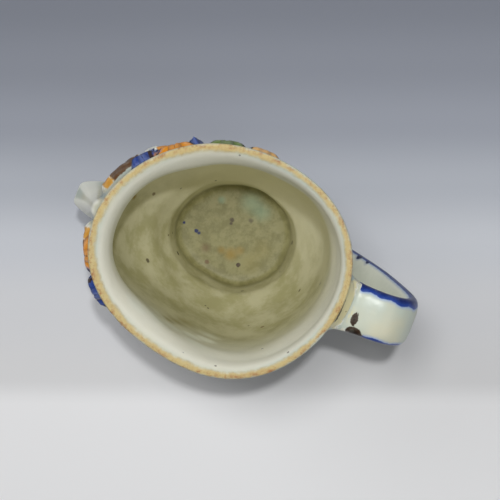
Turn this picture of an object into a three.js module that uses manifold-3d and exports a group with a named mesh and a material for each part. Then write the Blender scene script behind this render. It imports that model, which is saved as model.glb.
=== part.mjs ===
// Satyr mug: a press-moulded earthenware mug in the form of a satyr's head. A bearded mask
// fills the front, a wreath of vine leaves runs under the rim, locks of hair cover the sides,
// and a strap handle is luted to the plain back. It is one fired piece, so it is one solid.
// Millimetres, +Z up. The mask looks along -Y and the handle reaches along +Y. The origin is
// the middle of the flat underside of the foot.
import * as THREE from 'three';
import { mergeVertices } from 'three/addons/utils/BufferGeometryUtils.js';
import Module from 'manifold-3d';

// Driving dimensions
const HEIGHT = 122;
const RIM_LENGTH = 98; // outside, from the mask to the back
const RIM_BREADTH = 86; // outside, from side to side
const FOOT_DIAMETER = 66;
const FOOT_EDGE = 3; // upright edge of the foot
const WAIST_DIAMETER = 56; // narrowest place, above the foot
const WAIST_HEIGHT = 17.5;
const WALL = 3.4;
const LIP = 1.2; // flat top of the rim, between its rounded edges
const EDGE_ROUND = 0.8;
const FLOOR_HEIGHT = 9; // clay under the well
const FLOOR_ROUND = 3;
const WELL_DIAMETER = 50; // where the bowl steps down into the foot
const WELL_HEIGHT = 25;
const WELL_DRAFT = 2.5; // the well narrows by this much to its floor
const SHOULDER = 8; // height over which the wall turns in to the well
const SHOULDER_CLAY = 0.8; // and how much thicker it is there
const LEAN = 2.5; // how far the rim has moved off the foot, to -X
const STRAP_WIDTH = 18.6;
const STRAP_THICKNESS = 6;
const STRAP_ROUND = 2.2;
const STRAP_BITE = 3; // how deep the strap's ends are set in the wall
const HANDLE_REACH = 27.8; // clear of the rim, to the strap's outer face
const HANDLE_DROP = 9; // from the rim to the middle of the strap's upper end
const HANDLE_CREST = 2; // rise of the strap above its upper end
const HANDLE_LOW = 27; // height of the strap's lower end
const HANDLE_SKEW = 8; // the strap leans this far to -X over the mug's height
const HANDLE_PLUMB = 0.85; // share of the height where it is in line with the bowl

// The plan of a hand-pressed bowl: longer front to back, fuller in front, a little warped.
const RIM_RADIUS = (RIM_LENGTH + RIM_BREADTH) / 4;
const OVAL = (RIM_LENGTH - RIM_BREADTH) / 4;
const PEAR = 0.75;
const WARP = 0.6;
const TWIST = 0.5;
const FOOT_OVAL_SHARE = 0.45; // what is left of the oval at the waist and below
const OVAL_HEIGHT = 0.5; // share of the height where the plan has its full shape

// The bowl swells from the waist to its belly and flares at the rim.
const BELLY_SHARE = 0.76;
const BELLY_QUICKNESS = 0.2;
const BELLY_BEND = 1.35;
const FLARE_BEND = 5;
const FOOT_BEND = 1.8;

// Carving is placed and sized in hundredths of the height. Across is the way around the
// bowl from the mask's middle line, and up is the height above the underside.
const UNIT = HEIGHT / 100;
const MASK_TURN = 0; // the mask faces straight away from the handle
const SWELL = { turn: 0, halfTurn: 40, level: 66, spread: 25, rise: 4.7, end: 90 };
// Drawing-book proportions: the brow spans the eye and ends a little past it, and the nose
// is one eye wide and stands out by 0.55 of its length.
const BROW = { inner: 4.3, outer: 20.7, level: 75.5, arch: 3.8, half: 2.9, rise: 3, fade: 2.2 };
const EYE = { across: 11.5, level: 69, wide: 7.2, tall: 4.9, rise: 3.3 };
const SOCKET = { spread: 1.75, depth: 1.9 }; // a share of the eye, and how far it sinks
const LID = { rise: 0.8, half: 0.24 };
const NOSE = { top: 77, tip: 54.5, base: 50, bridge: 3.6, end: 7.2, start: 2.8, rise: 12.4, fade: 5 };
const NOSE_SECTION = { fullness: 1.15, bend: 1.2 };
const NOSTRIL = { across: 4.8, level: 54.5, radius: 3.6, rise: 4.2 };
const CHEEK = { across: 16.5, level: 59, wide: 11.5, tall: 10.5, rise: 3.1 };
const MOUSTACHE = { reach: 19, level: 49, sag: 4, curl: 6, half: 3.2, taper: 0.45, rise: 3.6, fade: 2.2 };
const PARTING = { half: 2.2, depth: 0.45 }; // the groove down the middle of the moustache
const LOWER_LIP = { level: 42, wide: 7, tall: 2.9, rise: 2.6 };
const BEARD = { top: 40, climb: 0.75, chin: 7, bottom: 17, tips: 7, edge: 4, rise: 1.9 };
const BEARD_LOCK = { pitch: 8.6, depth: 1.9, sway: 1.6 };
const BEARD_SIDE = { from: 60, to: 82 }; // degrees from the front over which it dies away
const EAR = { across: 33, level: 71, wide: 6.6, tall: 12, tilt: 0.35, rise: 3.9, hollow: 2.2 };
const EAR_OUTLINE = { lowness: 0.7, fullness: 0.8, edge: 0.6, lobe: 0.15, dish: 0.6 };
const TEMPLE = { across: 24.5, level: 82, wide: 8.5, tall: 9, rise: 3.4, coil: 4.2, depth: 0.5 };
const HAIR = { bottom: 22, tips: 10, top: 90, edge: 6, rise: 0.4 };
const HAIR_LOCK = { pitch: 12, depth: 1.4, sway: 3 };
const HAIR_SIDE = { from: 50, fade: 10, behind: 106, to: 128 }; // degrees from the front
const LOCK_WAVE = 3.5; // length of a lock's wave, in widths of a lock
const WREATH_LEVEL = 90.5;
const LEAF = { size: 8.6, lobes: 5, notch: 0.36, roundness: 0.7, bevel: 0.45, rise: 1.85 };
const LEAF_VEIN = { half: 0.7, rise: 0.5, fade: 0.2 };
const LEAF_TURNS = [-92, -73, -51, -33, 18, 36, 55, 74, 92]; // degrees from the middle of the front
const GRAPES = { turns: [-63, 64], level: 81, rows: 3 };
const GRAPE = { radius: 2.3, rise: 1.7, pitch: 4.1, rowPitch: 3.5 };
const LAPPET = { count: 14, rise: 1.1, shoulder: 0.35, reach: 0.6, edge: 0.15, base: 0.2, valley: 0.3 };
const JOINT = { swell: 1.6, spread: 2 }; // clay smoothed around the strap's ends
const PLAIN_RIM = 1.8; // band under the lip that the carving dies away into

// Facets
const TURNS = 80; // around the outside, closer together over the mask
const CROWDING = 0.42;
const BOWL_TURNS = 44;
const ROWS = { foot: 4, beard: 9, face: 22, wreath: 7, well: 2, shoulder: 5, bowl: 7 };
const BEARD_ROWS_END = 40; // hundredths of the height
const FACE_ROWS_END = 85;
const STRAP_STEPS = 24;
const ROUND_STEPS = 2;

const wasm = await Module();
wasm.setup();

const clamp01 = (value) => THREE.MathUtils.clamp(value, 0, 1);
const ease = (value, low, high) => THREE.MathUtils.smoothstep(value, low, high);
const ridge = (distance, half) => Math.exp(-((distance / half) ** 2));
const radians = THREE.MathUtils.degToRad;

// A soft oval mound, 1 in its middle and 0 from its edge outwards.
function mound(across, up, wide, tall) {
  const inside = 1 - (across / wide) ** 2 - (up / tall) ** 2;
  return inside > 0 ? inside * inside : 0;
}

// Plain outside radius of the bowl and foot, before its plan is made oval.
function plainRadius(height) {
  const waist = WAIST_DIAMETER / 2;
  const foot = FOOT_DIAMETER / 2;
  if (height < WAIST_HEIGHT) {
    const down = clamp01((WAIST_HEIGHT - height) / (WAIST_HEIGHT - FOOT_EDGE));
    return waist + (foot - waist) * down ** FOOT_BEND;
  }
  const up = (height - WAIST_HEIGHT) / (HEIGHT - WAIST_HEIGHT);
  const belly = BELLY_SHARE * (1 - Math.exp(-((up / BELLY_QUICKNESS) ** BELLY_BEND)));
  const flare = (1 - BELLY_SHARE) * up ** FLARE_BEND;
  return waist + (RIM_RADIUS - waist) * (belly + flare);
}

// What the plan of the bowl adds to the radius at a turn from the front.
function planOffset(turn, height) {
  const waistLevel = ease(height, WAIST_HEIGHT, OVAL_HEIGHT * HEIGHT);
  const share = FOOT_OVAL_SHARE + (1 - FOOT_OVAL_SHARE) * waistLevel;
  const regular = OVAL * Math.cos(2 * turn) + PEAR * Math.cos(3 * turn);
  return share * (regular + TWIST * Math.sin(2 * turn) + WARP * Math.sin(4 * turn));
}

// The broad swelling of the mask, which the inside of the wall follows too.
function maskSwell(turn, height) {
  const degrees = THREE.MathUtils.radToDeg(turn) - SWELL.turn;
  const around = Math.exp(-((degrees / SWELL.halfTurn) ** 4));
  const upright = ridge(height / UNIT - SWELL.level, SWELL.spread);
  const belowRim = 1 - ease(height, SWELL.end * UNIT, HEIGHT);
  return SWELL.rise * UNIT * around * upright * belowRim;
}

// Distance of a place from the mask's middle line, in hundredths of the height.
function acrossMask(turn) {
  return (Math.abs(turn - MASK_TURN) * RIM_RADIUS) / UNIT;
}

// Distance of a place from a turn given in degrees, in hundredths of the height.
function acrossFrom(degrees, turn) {
  return (radians(degrees - turn) * RIM_RADIUS) / UNIT;
}

function brow(across, up) {
  const along = clamp01((across - BROW.inner) / (BROW.outer - BROW.inner));
  const middle = BROW.level + BROW.arch * Math.sin(Math.PI * along);
  const inner = ease(across, BROW.inner - BROW.fade, BROW.inner + BROW.fade);
  const outer = 1 - ease(across, BROW.outer - BROW.fade, BROW.outer + BROW.fade);
  return BROW.rise * inner * outer * ridge(up - middle, BROW.half);
}

function eye(across, up) {
  const x = across - EYE.across;
  const y = up - EYE.level;
  const socket = SOCKET.depth * mound(x, y, SOCKET.spread * EYE.wide, SOCKET.spread * EYE.tall);
  const ball = EYE.rise * Math.sqrt(mound(x, y, EYE.wide, EYE.tall));
  const rim = Math.hypot(x / EYE.wide, y / EYE.tall) - 1;
  return ball - socket + LID.rise * ridge(rim, LID.half);
}

// A long nose that widens and rises from its bridge to its tip, with a wing at each side.
function nose(across, up) {
  const down = clamp01((NOSE.top - up) / (NOSE.top - NOSE.tip));
  const half = NOSE.bridge + (NOSE.end - NOSE.bridge) * down ** 2;
  const height = NOSE.start + (NOSE.rise - NOSE.start) * down ** 1.5;
  const ends = ease(up, NOSE.base, NOSE.tip) * (1 - ease(up, NOSE.top, NOSE.top + NOSE.fade));
  const section = clamp01(NOSE_SECTION.fullness * (1 - (across / half) ** 2)) ** NOSE_SECTION.bend;
  const x = across - NOSTRIL.across;
  const wing = NOSTRIL.rise * mound(x, up - NOSTRIL.level, NOSTRIL.radius, NOSTRIL.radius);
  return Math.max(height * ends * section, wing);
}

function cheek(across, up) {
  return CHEEK.rise * mound(across - CHEEK.across, up - CHEEK.level, CHEEK.wide, CHEEK.tall);
}

// Half of the moustache: it falls from under the nose and curls up at its end.
function moustache(across, up) {
  const along = clamp01(across / MOUSTACHE.reach);
  const fall = MOUSTACHE.sag * Math.sin(0.6 * Math.PI * along);
  const middle = MOUSTACHE.level - fall + MOUSTACHE.curl * along ** 5;
  const half = MOUSTACHE.half * (1 - MOUSTACHE.taper * along);
  const end = 1 - ease(across, MOUSTACHE.reach - MOUSTACHE.fade, MOUSTACHE.reach + MOUSTACHE.fade);
  const parting = 1 - PARTING.depth * (1 - ease(across, 0, PARTING.half));
  return MOUSTACHE.rise * end * parting * ridge(up - middle, half);
}

function lowerLip(across, up) {
  return LOWER_LIP.rise * mound(across, up - LOWER_LIP.level, LOWER_LIP.wide, LOWER_LIP.tall);
}

// Locks that fall in long waves, with a groove between each and the next.
function locks(across, up, lock) {
  const wave = Math.sin((2 * Math.PI * up) / (LOCK_WAVE * lock.pitch));
  const strand = (across + lock.sway * wave) / lock.pitch;
  return 0.5 * lock.depth * Math.cos(2 * Math.PI * strand);
}

// A full beard that climbs the cheeks from the chin and ends in points above the foot.
function beard(across, up, degrees) {
  const top = BEARD.top + BEARD.climb * Math.max(0, across - BEARD.chin);
  const under = 1 - ease(up, top - BEARD.edge, top);
  const above = ease(up, BEARD.bottom, BEARD.bottom + BEARD.tips);
  const sides = 1 - ease(Math.abs(degrees), BEARD_SIDE.from, BEARD_SIDE.to);
  return under * above * sides * (BEARD.rise + locks(across, up, BEARD_LOCK));
}

// A pointed ear, laid back against the hair, with a hollow along its middle.
function ear(across, up) {
  const y = up - EAR.level;
  const upwards = (y + EAR.tall) / (2 * EAR.tall);
  if (upwards <= 0 || upwards >= 1) {
    return 0;
  }
  const half = EAR.wide * Math.sin(Math.PI * upwards ** EAR_OUTLINE.lowness) ** EAR_OUTLINE.fullness;
  const inside = clamp01(1 - ((across - EAR.across - EAR.tilt * y) / half) ** 2);
  const lobe = ease(upwards, 0, EAR_OUTLINE.lobe);
  const dish = EAR.hollow * inside ** 3 * ridge(y, EAR_OUTLINE.dish * EAR.tall);
  return EAR.rise * lobe * inside ** EAR_OUTLINE.edge - dish;
}

// A lock of hair rolled up over the temple, with the groove of its coil.
function templeLock(across, up) {
  const x = across - TEMPLE.across;
  const y = up - TEMPLE.level;
  const body = mound(x, y, TEMPLE.wide, TEMPLE.tall);
  const winding = (2 * Math.PI * Math.hypot(x, y)) / TEMPLE.coil + Math.atan2(y, x);
  return TEMPLE.rise * Math.sqrt(body) + TEMPLE.depth * Math.sqrt(body) * Math.cos(winding);
}

function hair(across, up, degrees) {
  const turn = Math.abs(degrees);
  const front = ease(turn, HAIR_SIDE.from, HAIR_SIDE.from + HAIR_SIDE.fade);
  const back = 1 - ease(turn, HAIR_SIDE.behind, HAIR_SIDE.to);
  const above = ease(up, HAIR.bottom, HAIR.bottom + HAIR.tips);
  const under = 1 - ease(up, HAIR.top - HAIR.edge, HAIR.top);
  return front * back * above * under * (HAIR.rise + locks(across, up, HAIR_LOCK));
}

// One lobed vine leaf: 1 in its middle, 0 at its outline and less outside it.
function leafInside(x, y) {
  const lobe = Math.abs(Math.cos((LEAF.lobes * Math.atan2(x, y)) / 2)) ** LEAF.roundness;
  return 1 - Math.hypot(x, y) / (LEAF.size * (1 - LEAF.notch + LEAF.notch * lobe));
}

function wreath(degrees, up) {
  const rises = LEAF_TURNS.map((turn) => {
    const x = acrossFrom(degrees, turn);
    const inside = leafInside(x, up - WREATH_LEVEL);
    const vein = LEAF_VEIN.rise * ridge(x, LEAF_VEIN.half) * ease(inside, 0, LEAF_VEIN.fade);
    return LEAF.rise * ease(inside, 0, LEAF.bevel) + vein;
  });
  return Math.max(...rises);
}

// Bunches of round grapes, one fewer in each row down.
function grapes(degrees, up) {
  let rise = 0;
  for (const turn of GRAPES.turns) {
    for (let row = 0; row < GRAPES.rows; row += 1) {
      const count = GRAPES.rows - row;
      const y = up - GRAPES.level + row * GRAPE.rowPitch;
      for (let berry = 0; berry < count; berry += 1) {
        const x = acrossFrom(degrees, turn) - (berry - (count - 1) / 2) * GRAPE.pitch;
        rise = Math.max(rise, GRAPE.rise * Math.sqrt(mound(x, y, GRAPE.radius, GRAPE.radius)));
      }
    }
  }
  return rise;
}

// Upright leaves around the foot, with their tips at the waist.
function lappets(turn, height) {
  const up = clamp01((height - FOOT_EDGE) / (WAIST_HEIGHT - FOOT_EDGE));
  const middle = Math.abs(Math.cos((LAPPET.count * turn) / 2));
  const outline = LAPPET.shoulder + LAPPET.reach * middle;
  const inside = 1 - ease(up, outline, outline + LAPPET.edge);
  const body = LAPPET.valley + (1 - LAPPET.valley) * middle;
  return LAPPET.rise * ease(up, 0, LAPPET.base) * inside * body * (1 - up ** 3);
}

// Clay smoothed out from the strap's two ends onto the plain back.
function jointSwell(turn, height) {
  const fromBack = (Math.PI - Math.abs(turn)) * plainRadius(height);
  const tall = JOINT.spread * STRAP_THICKNESS;
  const upper = mound(fromBack, height - (HEIGHT - HANDLE_DROP), STRAP_WIDTH, tall);
  const lower = mound(fromBack, height - HANDLE_LOW, STRAP_WIDTH, tall);
  const belowRim = 1 - ease(height, HEIGHT - HANDLE_DROP / 2, HEIGHT - EDGE_ROUND);
  return JOINT.swell * (upper + lower) * belowRim;
}

// All the carving of the outside, in millimetres, at a turn between half a turn each way.
function carving(turn, height) {
  const up = height / UNIT;
  const across = acrossMask(turn);
  const degrees = THREE.MathUtils.radToDeg(turn);
  const face = brow(across, up) + eye(across, up) + cheek(across, up) + lowerLip(across, up);
  const profile = Math.max(nose(across, up), moustache(across, up));
  const fallingHair = Math.max(beard(across, up, degrees), hair(across, up, degrees));
  const head = Math.max(face + profile, ear(across, up), templeLock(across, up)) + fallingHair;
  const dressed = Math.max(head, wreath(degrees, up), grapes(degrees, up));
  const belowRim = 1 - ease(height, HEIGHT - PLAIN_RIM, HEIGHT);
  return belowRim * (UNIT * dressed + lappets(turn, height) + jointSwell(turn, height));
}

// Inside radius of the bowl and of the well in the foot.
function bowlRadius(height) {
  const wellRadius = WELL_DIAMETER / 2;
  const down = clamp01((WELL_HEIGHT - height) / (WELL_HEIGHT - FLOOR_HEIGHT));
  if (height < WELL_HEIGHT) {
    return wellRadius - WELL_DRAFT * down;
  }
  const wall = plainRadius(height) - WALL;
  const up = (height - WELL_HEIGHT) / SHOULDER;
  const step = (plainRadius(WELL_HEIGHT) - WALL - wellRadius) * Math.exp(-up);
  const thick = SHOULDER_CLAY * up * Math.exp(1 - up);
  return wall - step - thick;
}

// Evenly spaced heights, from one step above low up to high.
function heights(low, high, count) {
  return Array.from({ length: count }, (_, step) => low + ((high - low) * (step + 1)) / count);
}

function outsideProfile() {
  const foot = FOOT_DIAMETER / 2;
  const rim = plainRadius(HEIGHT);
  const edge = HEIGHT - EDGE_ROUND;
  const rows = [
    ...heights(FOOT_EDGE, WAIST_HEIGHT, ROWS.foot),
    ...heights(WAIST_HEIGHT, BEARD_ROWS_END * UNIT, ROWS.beard),
    ...heights(BEARD_ROWS_END * UNIT, FACE_ROWS_END * UNIT, ROWS.face),
    ...heights(FACE_ROWS_END * UNIT, edge, ROWS.wreath),
  ];
  return [
    new THREE.Vector2(0, 0),
    new THREE.Vector2(foot - EDGE_ROUND, 0),
    new THREE.Vector2(foot, EDGE_ROUND),
    new THREE.Vector2(foot, FOOT_EDGE),
    ...rows.map((height) => new THREE.Vector2(plainRadius(height), height)),
    new THREE.Vector2(rim - EDGE_ROUND, HEIGHT),
    new THREE.Vector2(0, HEIGHT),
  ];
}

function bowlProfile() {
  const lipInside = plainRadius(HEIGHT) - EDGE_ROUND - LIP;
  const underLip = HEIGHT - 3 * EDGE_ROUND;
  const floor = bowlRadius(FLOOR_HEIGHT);
  const fillet = FLOOR_HEIGHT + FLOOR_ROUND;
  const corner = (1 - Math.SQRT1_2) * FLOOR_ROUND; // from the fillet's two sides to its middle
  const rows = [
    ...heights(fillet, WELL_HEIGHT, ROWS.well),
    ...heights(WELL_HEIGHT, WELL_HEIGHT + 2 * SHOULDER, ROWS.shoulder),
    ...heights(WELL_HEIGHT + 2 * SHOULDER, underLip, ROWS.bowl),
  ];
  return [
    new THREE.Vector2(0, FLOOR_HEIGHT),
    new THREE.Vector2(floor - FLOOR_ROUND, FLOOR_HEIGHT),
    new THREE.Vector2(floor - corner, FLOOR_HEIGHT + corner),
    new THREE.Vector2(bowlRadius(fillet), fillet),
    ...rows.map((height) => new THREE.Vector2(bowlRadius(height), height)),
    new THREE.Vector2(lipInside, HEIGHT),
    new THREE.Vector2(lipInside, HEIGHT + WALL),
    new THREE.Vector2(0, HEIGHT + WALL),
  ];
}

// Turns a profile round the axis, moves each point outwards by offset, and leans the result.
function turned(profile, turns, offset) {
  const geometry = new THREE.LatheGeometry(profile, turns);
  const position = geometry.getAttribute('position');
  for (let index = 0; index < position.count; index += 1) {
    const step = Math.floor(index / profile.length) / turns;
    const even = 2 * Math.PI * step - Math.PI;
    const turn = even - CROWDING * Math.sin(even);
    const { x: radius, y: height } = profile[index % profile.length];
    const reach = radius > 0 ? radius + offset(turn, height) : 0;
    position.setXYZ(
      index,
      reach * Math.sin(turn) - (LEAN * height) / HEIGHT,
      -reach * Math.cos(turn),
      height,
    );
  }
  return solidFrom(geometry);
}

// A closed mesh as a solid, with its vertices merged and its collapsed triangles dropped.
function solidFrom(geometry) {
  geometry.deleteAttribute('normal');
  geometry.deleteAttribute('uv');
  const merged = mergeVertices(geometry, 1e-4);
  const corners = [...merged.getIndex().array];
  const kept = [];
  for (let first = 0; first < corners.length; first += 3) {
    const [a, b, c] = corners.slice(first, first + 3);
    if (a !== b && b !== c && c !== a) {
      kept.push(a, b, c);
    }
  }
  const vertProperties = Float32Array.from(merged.getAttribute('position').array);
  const mesh = new wasm.Mesh({ numProp: 3, vertProperties, triVerts: Uint32Array.from(kept) });
  return new wasm.Manifold(mesh);
}

function outsideSolid() {
  return turned(outsideProfile(), TURNS, (turn, height) => {
    return planOffset(turn, height) + maskSwell(turn, height) + carving(turn, height);
  });
}

function bowlHollow() {
  return turned(bowlProfile(), BOWL_TURNS, (turn, height) => {
    return planOffset(turn, height) + maskSwell(turn, height);
  });
}

// Section of the strap, with its width along the first axis of the sweep.
function strapSection() {
  const wide = STRAP_WIDTH / 2;
  const thick = STRAP_THICKNESS / 2;
  const round = STRAP_ROUND;
  const shape = new THREE.Shape();
  shape.moveTo(-wide + round, -thick);
  shape.lineTo(wide - round, -thick);
  shape.quadraticCurveTo(wide, -thick, wide, -thick + round);
  shape.lineTo(wide, thick - round);
  shape.quadraticCurveTo(wide, thick, wide - round, thick);
  shape.lineTo(-wide + round, thick);
  shape.quadraticCurveTo(-wide, thick, -wide, thick - round);
  shape.lineTo(-wide, -thick + round);
  shape.quadraticCurveTo(-wide, -thick, -wide + round, -thick);
  return shape;
}

// Middle line of the strap, from its upper end to its lower end, before the lean.
function strapLine() {
  const upper = HEIGHT - HANDLE_DROP;
  const back = (height) => plainRadius(height) + planOffset(Math.PI, height);
  const start = back(upper);
  const end = back(HANDLE_LOW);
  const far = back(HEIGHT) + HANDLE_REACH - STRAP_THICKNESS / 2;
  const out = (from, share) => from + (far - from) * share;
  const down = (share) => upper + (HANDLE_LOW - upper) * share;
  const places = [
    [start - STRAP_BITE, upper - 0.8 * HANDLE_CREST],
    [out(start, 0.2), upper + 0.1 * HANDLE_CREST],
    [out(start, 0.45), upper + 0.7 * HANDLE_CREST],
    [out(start, 0.7), upper + 0.6 * HANDLE_CREST],
    [out(start, 0.9), down(0.03)],
    [out(start, 1), down(0.1)],
    [out(end, 0.99), down(0.18)],
    [out(end, 0.92), down(0.31)],
    [out(end, 0.82), down(0.45)],
    [out(end, 0.71), down(0.58)],
    [out(end, 0.56), down(0.71)],
    [out(end, 0.39), down(0.84)],
    [out(end, 0.2), down(0.95)],
    [end - STRAP_BITE, HANDLE_LOW - 0.5 * HANDLE_CREST],
  ];
  return new THREE.CatmullRomCurve3(places.map(([y, z]) => new THREE.Vector3(0, y, z)));
}

function strapSolid() {
  const geometry = new THREE.ExtrudeGeometry(strapSection(), {
    extrudePath: strapLine(),
    steps: STRAP_STEPS,
    curveSegments: ROUND_STEPS,
    bevelEnabled: false,
  });
  const position = geometry.getAttribute('position');
  for (let index = 0; index < position.count; index += 1) {
    const height = position.getZ(index);
    const askew = HANDLE_SKEW * (height / HEIGHT - HANDLE_PLUMB);
    position.setX(index, position.getX(index) + askew - (LEAN * height) / HEIGHT);
  }
  return solidFrom(geometry);
}

function namedMesh(name, solid, material) {
  const { vertProperties, triVerts } = solid.getMesh();
  const geometry = new THREE.BufferGeometry();
  geometry.setAttribute('position', new THREE.BufferAttribute(vertProperties, 3));
  geometry.setIndex(new THREE.BufferAttribute(triVerts, 1));
  geometry.computeVertexNormals();
  const mesh = new THREE.Mesh(geometry, material);
  mesh.name = name;
  return mesh;
}

const pearlware = new THREE.MeshStandardMaterial({ color: 0xcfccbb, roughness: 0.2, metalness: 0 });
const mugSolid = outsideSolid().add(strapSolid()).subtract(bowlHollow());

const mug = new THREE.Group();
mug.add(namedMesh('satyr_mug', mugSolid, pearlware));

export default mug;
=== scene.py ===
"""Satyr mug: a press-moulded earthenware mug in the form of a satyr's head, with a wreath of
vine leaves under the rim, painted in cobalt blue, ochre, green and brown and glazed. The mask
looks along -Y and the handle reaches along +Y. Sizes are in millimetres until they are placed."""
import math
from types import SimpleNamespace as Form

import bmesh
import bpy
import numpy as np
from mathutils import Matrix, Vector, kdtree


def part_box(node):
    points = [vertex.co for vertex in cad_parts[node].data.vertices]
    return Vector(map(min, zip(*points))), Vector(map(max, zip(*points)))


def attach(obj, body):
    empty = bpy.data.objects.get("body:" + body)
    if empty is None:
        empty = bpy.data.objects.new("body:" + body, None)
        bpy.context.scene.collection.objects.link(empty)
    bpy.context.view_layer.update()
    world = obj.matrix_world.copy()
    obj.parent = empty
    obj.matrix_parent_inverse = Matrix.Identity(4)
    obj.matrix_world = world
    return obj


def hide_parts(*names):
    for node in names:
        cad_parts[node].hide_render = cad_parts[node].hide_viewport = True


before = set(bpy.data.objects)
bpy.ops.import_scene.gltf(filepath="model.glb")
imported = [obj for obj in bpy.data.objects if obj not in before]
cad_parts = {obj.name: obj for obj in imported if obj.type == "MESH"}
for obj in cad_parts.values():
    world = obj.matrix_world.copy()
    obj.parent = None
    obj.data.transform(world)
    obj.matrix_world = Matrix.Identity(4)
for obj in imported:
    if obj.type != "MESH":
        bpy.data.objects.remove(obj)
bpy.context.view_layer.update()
MM = 0.001
FOOT_CORNER, RIM_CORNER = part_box("satyr_mug")

# The bowl and foot
HEIGHT = (RIM_CORNER.z - FOOT_CORNER.z) / MM
RIM_LENGTH = 98.0
RIM_BREADTH = 86.0
FOOT_DIAMETER = 66.0
FOOT_EDGE = 3.0
WAIST_DIAMETER = 56.0
WAIST_HEIGHT = 17.5
WALL = 3.4
LIP = 1.2
EDGE_ROUND = 0.8
LIP_DEPTH = 9.0  # height of the lip's rounded inner edge
WREATH_CLAY = Form(level=107, spread=15, thick=2.0, front=1.3)  # thicker wall behind the wreath
CHIN_LEDGE = Form(level=38, spread=8, rise=2.6)  # inside, behind the mask's chin
MASK_HOLLOW = Form(level=62, spread=16, depth=1.6, half_turn=50)  # inside, behind the cheeks
FLOOR_HEIGHT = 9.0
FLOOR_ROUND = 3.0
WELL_DIAMETER = 50.0
WELL_HEIGHT = 25.0
WELL_DRAFT = 2.5
SHOULDER = 8.0
SHOULDER_CLAY = 0.8
LEAN = 2.5
RIM_RADIUS = (RIM_LENGTH + RIM_BREADTH) / 4
OVAL = (RIM_LENGTH - RIM_BREADTH) / 4
PEAR = 0.75
WARP = 0.6
TWIST = 0.5
FOOT_OVAL_SHARE = 0.45
OVAL_HEIGHT = 0.5
BELLY_SHARE = 0.76
BELLY_QUICKNESS = 0.2
BELLY_BEND = 1.35
FLARE_BEND = 5.0
FOOT_BEND = 1.8

# The strap handle
STRAP_WIDTH = 18.6
STRAP_THICKNESS = 6.0
STRAP_BITE = 1.3
STRAP_CROWN = 0.35  # how far each face bulges in its middle
STRAP_FLARE = 0.16  # how much wider the strap grows at its two ends
HANDLE_REACH = 27.8
HANDLE_DROP = 9.0
HANDLE_CREST = 2.0
HANDLE_LOW = 27.0
HANDLE_SKEW = 8.0
HANDLE_PLUMB = 0.85
STRIPE = Form(start=6.2, far=1.7, near=1.2)
DROP = Form(side=2.6, run=9.6, long=3.7, half=1.45, curve=0.9)
DISC = Form(run=11.0, radius=3.4)
ROOT_STAIN = 7.5  # how far out a cream stain of the slip reaches on the strap
CORE = Form(run=33, spread=7, half=1.5)  # darker blue where the far stripe goes round the bend
BLOBS = (Form(from_end=31, size=1.2), Form(from_end=38, size=0.7))  # drips on the lower arm's far edge
JOINT_BLEND = 3.2  # the slip around the strap's ends is smoothed this far out

# Carving, in hundredths of the height, as far across from the mask's middle line as up
UNIT = HEIGHT / 100
MASK_TURN = 0.0  # the mask faces straight away from the handle
SWELL = Form(turn=0, half_turn=40, level=66, spread=25, rise=4.7, end=90)
# Drawing-book proportions: the brow spans the eye and ends a little past it, and the nose
# is one eye wide and stands out by 0.55 of its length.
BROW = Form(inner=4.3, outer=20.7, level=75.5, arch=3.8, half=2.9, rise=3, fade=2.2, hairs=3.2)
BROW_PAINT = Form(start=5.9, ochre_end=9.2, end=19.1)  # a tenth bare at each end, a fifth ochre
EYE = Form(across=11.5, level=69, wide=7.2, tall=4.9, rise=3.3, iris=1.9)
SOCKET = Form(spread=1.75, depth=1.9)
LID = Form(rise=0.8, half=0.24)
NOSE = Form(top=77, tip=54.5, base=50, bridge=3.6, end=7.2, start=2.8, rise=12.4, fade=5)
NOSE_SECTION = Form(fullness=1.15, bend=1.2)
NOSTRIL = Form(across=4.8, level=54.5, radius=3.6, rise=4.2, hole=1.5)
CHEEK = Form(across=16.5, level=59, wide=11.5, tall=10.5, rise=3.1)
MOUSTACHE = Form(reach=19, level=49, sag=4, curl=6, half=3.2, taper=0.45, rise=3.6, fade=2.2)
PARTING = Form(half=2.2, depth=0.45)
LOWER_LIP = Form(level=42, wide=7, tall=2.9, rise=2.6)
MOUTH = Form(level=44.8, wide=7.5, half=0.8, depth=1.3)
BEARD = Form(top=40, climb=0.75, chin=7, bottom=17, tips=7, edge=4, rise=1.9)
BEARD_LOCK = Form(pitch=8.6, depth=1.9, sway=1.6)
BEARD_SIDE = Form(start=60, end=82)
EAR = Form(across=33, level=71, wide=6.6, tall=12, tilt=0.35, rise=3.9, hollow=2.8)
EAR_OUTLINE = Form(lowness=0.7, fullness=0.8, edge=0.6, lobe=0.15, dish=0.6)
TEMPLE = Form(across=24.5, level=82, wide=8.5, tall=9, rise=3.4, coil=4.2, depth=0.5)
HAIR = Form(bottom=22, tips=10, top=90, edge=6, rise=0.4)
HAIR_LOCK = Form(pitch=12, depth=1.4, sway=3)
HAIR_SIDE = Form(start=50, fade=10, behind=106, end=128)
LOCK_WAVE = 3.5
STRANDS = 4  # fine strands in each lock
STRAND_DEPTH = 0.22
WREATH_LEVEL = 90.5
LEAF = Form(size=8.6, lobes=5, notch=0.42, roundness=0.8, bevel=0.5, rise=1.85, teeth=30, tooth=0.035)
LEAF_VEIN = Form(half=0.55, rise=0.4, fade=0.2)
GRAPES = Form(turns=(-63, 64), level=81, rows=3)
GRAPE = Form(radius=2.3, rise=1.7, pitch=4.1, row_pitch=3.5)
LAPPET = Form(count=14, rise=1.1, shoulder=0.35, reach=0.6, edge=0.15, base=0.2, valley=0.3)
JOINT = Form(swell=1.6, spread=2)
SLIP = Form(middle=0.8, half=9.0, edge=3.0, rise=6.5, deep=8.2, end=18.0)  # from the lip to the strap
PLAIN_RIM = 1.8
STEM = Form(level=95.3, half=1.1)  # the wreath's painted stem

CRACK = Form(start=184, end=171.5, top=1.0, drop=1.2, half=0.62)  # turns in degrees

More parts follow.
